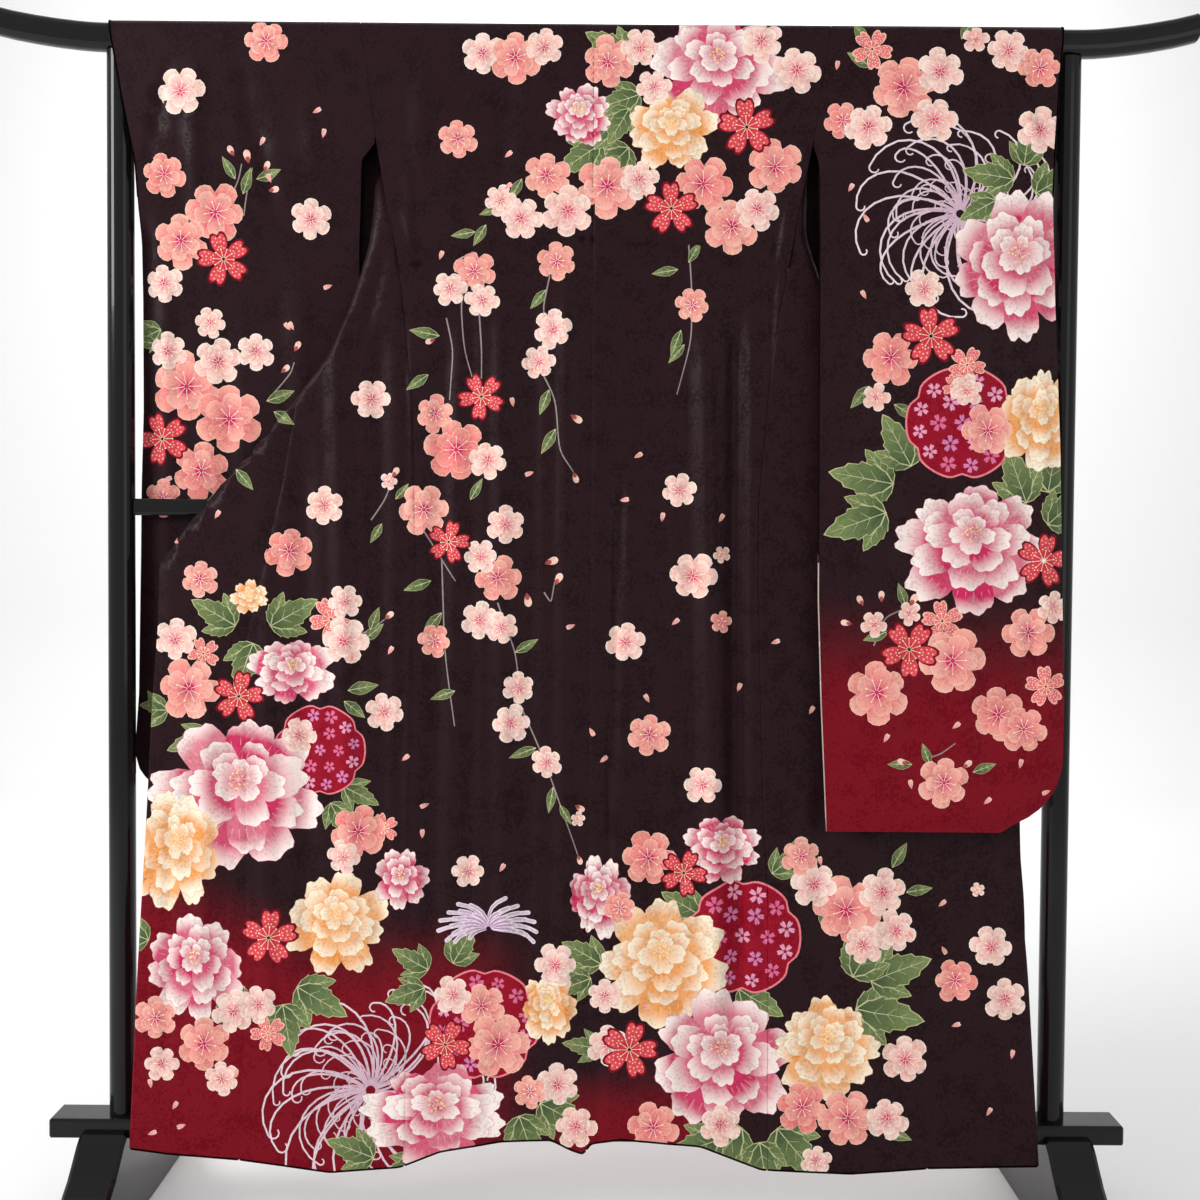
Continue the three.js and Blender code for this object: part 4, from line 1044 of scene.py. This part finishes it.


# A garment piece: the panels given thickness, the print outside, the lining inside, and rolls
# of cloth along the edges that have them. Above edge_top the edges are of the print's cloth,
# and so is the lining side as far out as the reach given, left without print and so near black:
# dark cloth and painted shade where the slit beside the body shows it.
def garment(name, panels, inside, edge, rolls=(), edge_top=2000.0, slack=1.8, dark_inside_reach=0.0):
    positions, faces, corner_colours, materials, normals_out = [], [], [], [], []
    start = 0
    for place, normals, triangles, colours, rim, inside_net in panels:
        inside_place, inside_normals, inside_cells, partner = inside_net
        positions.append(place + normals * CLOTH / 2)
        faces.extend((triangles + start).tolist())
        materials.extend([PRINT_SLOT] * len(triangles))
        corner_colours.append(colours.reshape(-1, 3))
        normals_out.append(normals[triangles].reshape(-1, 3))
        inside_start = start + len(place)
        depth = np.full((len(inside_place), 1), CLOTH / 2 + slack)
        depth[list(partner.values())] = CLOTH / 2
        positions.append(inside_place - inside_normals * depth)
        turned = inside_cells[:, ::-1]
        faces.extend((turned + inside_start).tolist())
        middle = inside_place[turned].mean(axis=1)
        # Inside faces within that reach above edge_top: print's cloth with no print, near black, dark cloth
        # and painted shade of the slit
        dark_inside = (np.abs(middle[:, 0]) < dark_inside_reach) & (middle[:, 2] > edge_top)
        lined_in = np.where(middle[:, 2] < RED_LINING_TOP, RED_SLOT, INSIDE_SLOT)
        materials.extend(np.where(dark_inside, PRINT_SLOT, lined_in).tolist())
        corner_colours.append(np.zeros((len(turned) * 3, 3)))
        normals_out.append(-inside_normals[turned].reshape(-1, 3))
        for a, b in rim:
            faces.append([start + b, start + a, inside_start + partner[a], inside_start + partner[b]])
        ends = np.array(rim)
        materials.extend(np.where(place[ends[:, 0], 2] < edge_top, EDGE_SLOT, PRINT_SLOT).tolist())
        across = unit(np.cross(place[ends[:, 1]] - place[ends[:, 0]], normals[ends[:, 1]]))
        corner_colours.append(np.zeros((len(rim) * 4, 3)))
        normals_out.append(np.repeat(across, 4, axis=0))
        start = inside_start + len(inside_place)
    for line, radius in rolls:
        skin, ring = roll(line, radius)
        count, sides = skin.shape[:2]
        number = start + np.arange(count * sides).reshape(count, sides)
        after = np.roll(number, -1, axis=1)
        quads = np.stack([number[:-1], number[1:], after[1:], after[:-1]], axis=2).reshape(-1, 4)
        positions.append(skin.reshape(-1, 3))
        faces.extend(quads.tolist())
        materials.extend([ROLL_SLOT] * len(quads))
        corner_colours.append(np.zeros((len(quads) * 4, 3)))
        normals_out.append(ring.reshape(-1, 3)[quads.ravel() - start])
        start += count * sides
    mesh = bpy.data.meshes.new(name)
    mesh.from_pydata((np.concatenate(positions) / 1000).tolist(), [], faces)
    layer = mesh.color_attributes.new("print", "FLOAT_COLOR", "CORNER")
    values = np.concatenate(corner_colours)
    values = np.concatenate([values, np.ones((len(values), 1))], axis=1)
    layer.data.foreach_set("color", values.astype(np.float32).ravel())
    for material in (printed, inside, edge, lining_red, hem_roll):
        mesh.materials.append(material)
    mesh.polygons.foreach_set("material_index", materials)
    mesh.polygons.foreach_set("use_smooth", [True] * len(mesh.polygons))
    mesh.normals_split_custom_set(np.concatenate(normals_out).tolist())
    mesh.validate()
    piece = bpy.data.objects.new(name, mesh)
    bpy.context.scene.collection.objects.link(piece)
    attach(piece, "root")
    return piece


# The edges of a panel from the left, given the one near the centre line and the one far from it
def edges_of(way, near, far):
    if way > 0:
        return near, far
    return (lambda v: -far(v)), (lambda v: -near(v))


# Body halves: the back from the hem over the rail to the neck, then the front from the rail
# down and out to its seam with the overlap. The tuck sewn across the back is a low step.
RAIL_TOP, JOINT_GAP, UNDERLAP = 1717, 0.2, 3.0
for side, way in (("left", -1), ("right", 1)):
    seam, overlap_seam, front_width = SIDE[side], OVERLAP_SEAM[side], FRONT_WIDTH[side]

    # The left half passes behind the right one at the centre seam
    def back_near(v):
        return (JOINT_GAP if way > 0 else -UNDERLAP) + 0 * v

    def back_far(v):
        return seam(np.minimum(v, RAIL_TOP)) - JOINT_GAP

    tuck_x = np.linspace(way, way * 300, 60)
    tuck_lines = [[(float(x), float(TUCK(x)) + up) for x in tuck_x] for up in (-0.2, 0.4, 1.0, 8.0)]
    back = panel(
        *edges_of(way, back_near, back_far), HEM, TURN_Z + TURN_LENGTH,
        lambda x, v: back_place(x, v, side),
        lambda x, v: ground(x, v, "body"), lines=tuck_lines, cut=TUCK,
    )

    def front_near(z):
        return seam(z) - UNDERLAP

    def front_far(z):
        tucked = overlap_seam(z) + UNDERLAP * step((OVERLAP_TIP - z) / 30)
        return seam(z) + np.where(z > OVERLAP_TIP, front_width(z), tucked)

    front = panel(
        *edges_of(way, front_near, front_far), HEM, TURN_Z,
        lambda x, v: front_place(x, v, side, True),
        lambda x, v: ground(x, v, "body"),
    )
    back_x = way * np.linspace(1, float(seam(130)) - 1, 60)
    back_hem = back_place(back_x, HEM(back_x), side)
    front_x = way * np.linspace(float(seam(110)) + 1, float(seam(110) + overlap_seam(110)) - 1, 60)
    front_hem = front_place(front_x, HEM(front_x), side)
    body = garment(f"robe_body_{side}", [back, front], lining, hem_roll, ((back_hem, 1.6), (front_hem, 1.6)))
    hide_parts(f"body_{side}")

    # The overlap: a long strip that narrows to a tip on the front edge
    def overlap_near(z):
        return seam(z) + overlap_seam(z) + 0.3

    def overlap_far(z):
        return seam(z) + np.maximum(front_width(z), overlap_seam(z) + UNDERLAP)

    low_x = way * np.linspace(float(overlap_near(110)) + 1, float(overlap_far(110)) - 3, 40)
    overlap_hem = front_place(low_x, HEM(low_x), side)
    overlap = garment(f"robe_overlap_{side}", [panel(
        *edges_of(way, overlap_near, overlap_far), HEM, float(OVERLAP_TIP),
        lambda x, v: front_place(x, v, side),
        lambda x, v: ground(x, v, "body"),
    )], lining, hem_roll, ((overlap_hem, 1.6),))
    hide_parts(f"overlap_{side}")

# Sleeves: each one length folded over the rail, printed on both faces of the bag, with a roll
# of its lining along the hand opening
CROWN = TURN_Z + TURN_LENGTH / 2
for side, way in (("left", -1), ("right", 1)):
    shape = SLEEVES[side]

    # The height on the front face that a place on the length has, or lies behind
    def fall(v):
        return np.where(v > CROWN, 2 * CROWN - v, v)

    def sleeve_near(v):
        return shape["inner"](fall(v)) + JOINT_GAP

    def sleeve_far(v):
        return shape["cuff"](fall(v))

    cuff_v = np.linspace(CUFF_OPENING, 2 * CROWN - CUFF_OPENING, 120)
    cuff_line = sleeve_place(way * (sleeve_far(cuff_v) - 0.5), cuff_v, side)
    # A dark strip below the arm, of the ground's colour, shows through the slit beside the body: partly the
    # dark turned-in edge, partly painted shade in the slit
    slit_z = np.linspace(1325, 1560, 24)[:, None]
    slit_x = way * (284 + np.linspace(0, 1, 6)[None, ::way] * 60) + 0 * slit_z
    slit_shade_strip = plain_panel(np.stack([slit_x, 24 + 0 * slit_x, slit_z + 0 * slit_x], axis=2), DARK)
    # Out to 352 mm the sleeve's inside is left near black: dark cloth and painted shade seen through the slit
    bag = garment(f"robe_sleeve_{side}", [panel(
        *edges_of(way, sleeve_near, sleeve_far),
        lambda x: shape["bottom"] + 0 * x, 2 * CROWN - shape["bottom"],
        lambda x, v: sleeve_place(x, v, side),
        lambda x, v: ground(x, fall(v), "sleeve"),
        copies=((1, None), (-1, 2 * CROWN)),
    ), slit_shade_strip], lining, lining, ((cuff_line, 1.5),), edge_top=960.0, slack=0.0, dark_inside_reach=352.0)
    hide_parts(f"sleeve_{side}")

# Collar: one band inside the neck and down both front edges, at the rear of the hanging robe
COLLAR_WIDTH, COLLAR_END, COLLAR_TOP = 55.0, 950.0, 1600.0
NECK_HALF, NECK_HALF_LOW = 86.5, 32.0
heights = np.linspace(COLLAR_END, COLLAR_TOP, 80)
shares = np.linspace(0, 1, 9)
halves = {}
for side, way in (("left", -1), ("right", 1)):
    clear = 0.4 + 1.6 * step((1220 - heights) / 60) + 4 * step((1060 - heights) / 60)
    distance = FRONT_WIDTH[side](heights)[:, None] + clear[:, None] + (COLLAR_WIDTH - clear)[:, None] * shares
    flat_x = way * (SIDE[side](heights)[:, None] + distance)
    flat_z = np.repeat(heights[:, None], len(shares), axis=1)
    halves[side] = front_place(flat_x.ravel(), flat_z.ravel(), side).reshape(len(heights), len(shares), 3)
neck_x = np.linspace(-NECK_HALF, NECK_HALF, 25)
neck_z = TURN_Z - 2.4 - (COLLAR_WIDTH + 3.6) * shares
across_neck = neck_x[:, None] * (1 + (NECK_HALF_LOW / NECK_HALF - 1) * shares)
neck_rows = np.zeros_like(across_neck)
neck = np.stack([across_neck, neck_rows + BEHIND_Y(neck_z), neck_rows + neck_z], axis=2)
band = np.concatenate([halves["left"], neck, halves["right"][::-1]])
collar = garment("robe_collar", [plain_panel(band, DARK)], lining, hem_roll, slack=0.0)
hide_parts("collar")

# Stand: deep black lacquer, glossy, with a faint unevenness in its gloss
lacquer = bpy.data.materials.new("black_lacquer")
lacquer.use_nodes = True
nodes, links = lacquer.node_tree.nodes, lacquer.node_tree.links
shader = nodes["Principled BSDF"]
shader.inputs["Base Color"].default_value = (0.006, 0.0055, 0.006, 1.0)
shader.inputs["Specular IOR Level"].default_value = 0.16
shader.inputs["Coat Weight"].default_value = 0.18
shader.inputs["Coat Roughness"].default_value = 0.05
place = nodes.new("ShaderNodeTexCoord")
haze = nodes.new("ShaderNodeTexNoise")
haze.inputs["Scale"].default_value = 9.0
haze.inputs["Detail"].default_value = 4.0
links.new(place.outputs["Object"], haze.inputs["Vector"])
gloss = nodes.new("ShaderNodeMapRange")
gloss.inputs["To Min"].default_value = 0.1
gloss.inputs["To Max"].default_value = 0.2
links.new(haze.outputs["Fac"], gloss.inputs["Value"])
links.new(gloss.outputs["Result"], shader.inputs["Roughness"])
for name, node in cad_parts.items():
    if name.startswith("stand_"):
        node.data.polygons.foreach_set("use_smooth", [True] * len(node.data.polygons))
        node.modifiers.new("crisp_edges", "EDGE_SPLIT").split_angle = math.radians(30)
        while len(node.material_slots) < 1:
            node.data.materials.append(lacquer)
        for slot in node.material_slots:
            slot.material = lacquer
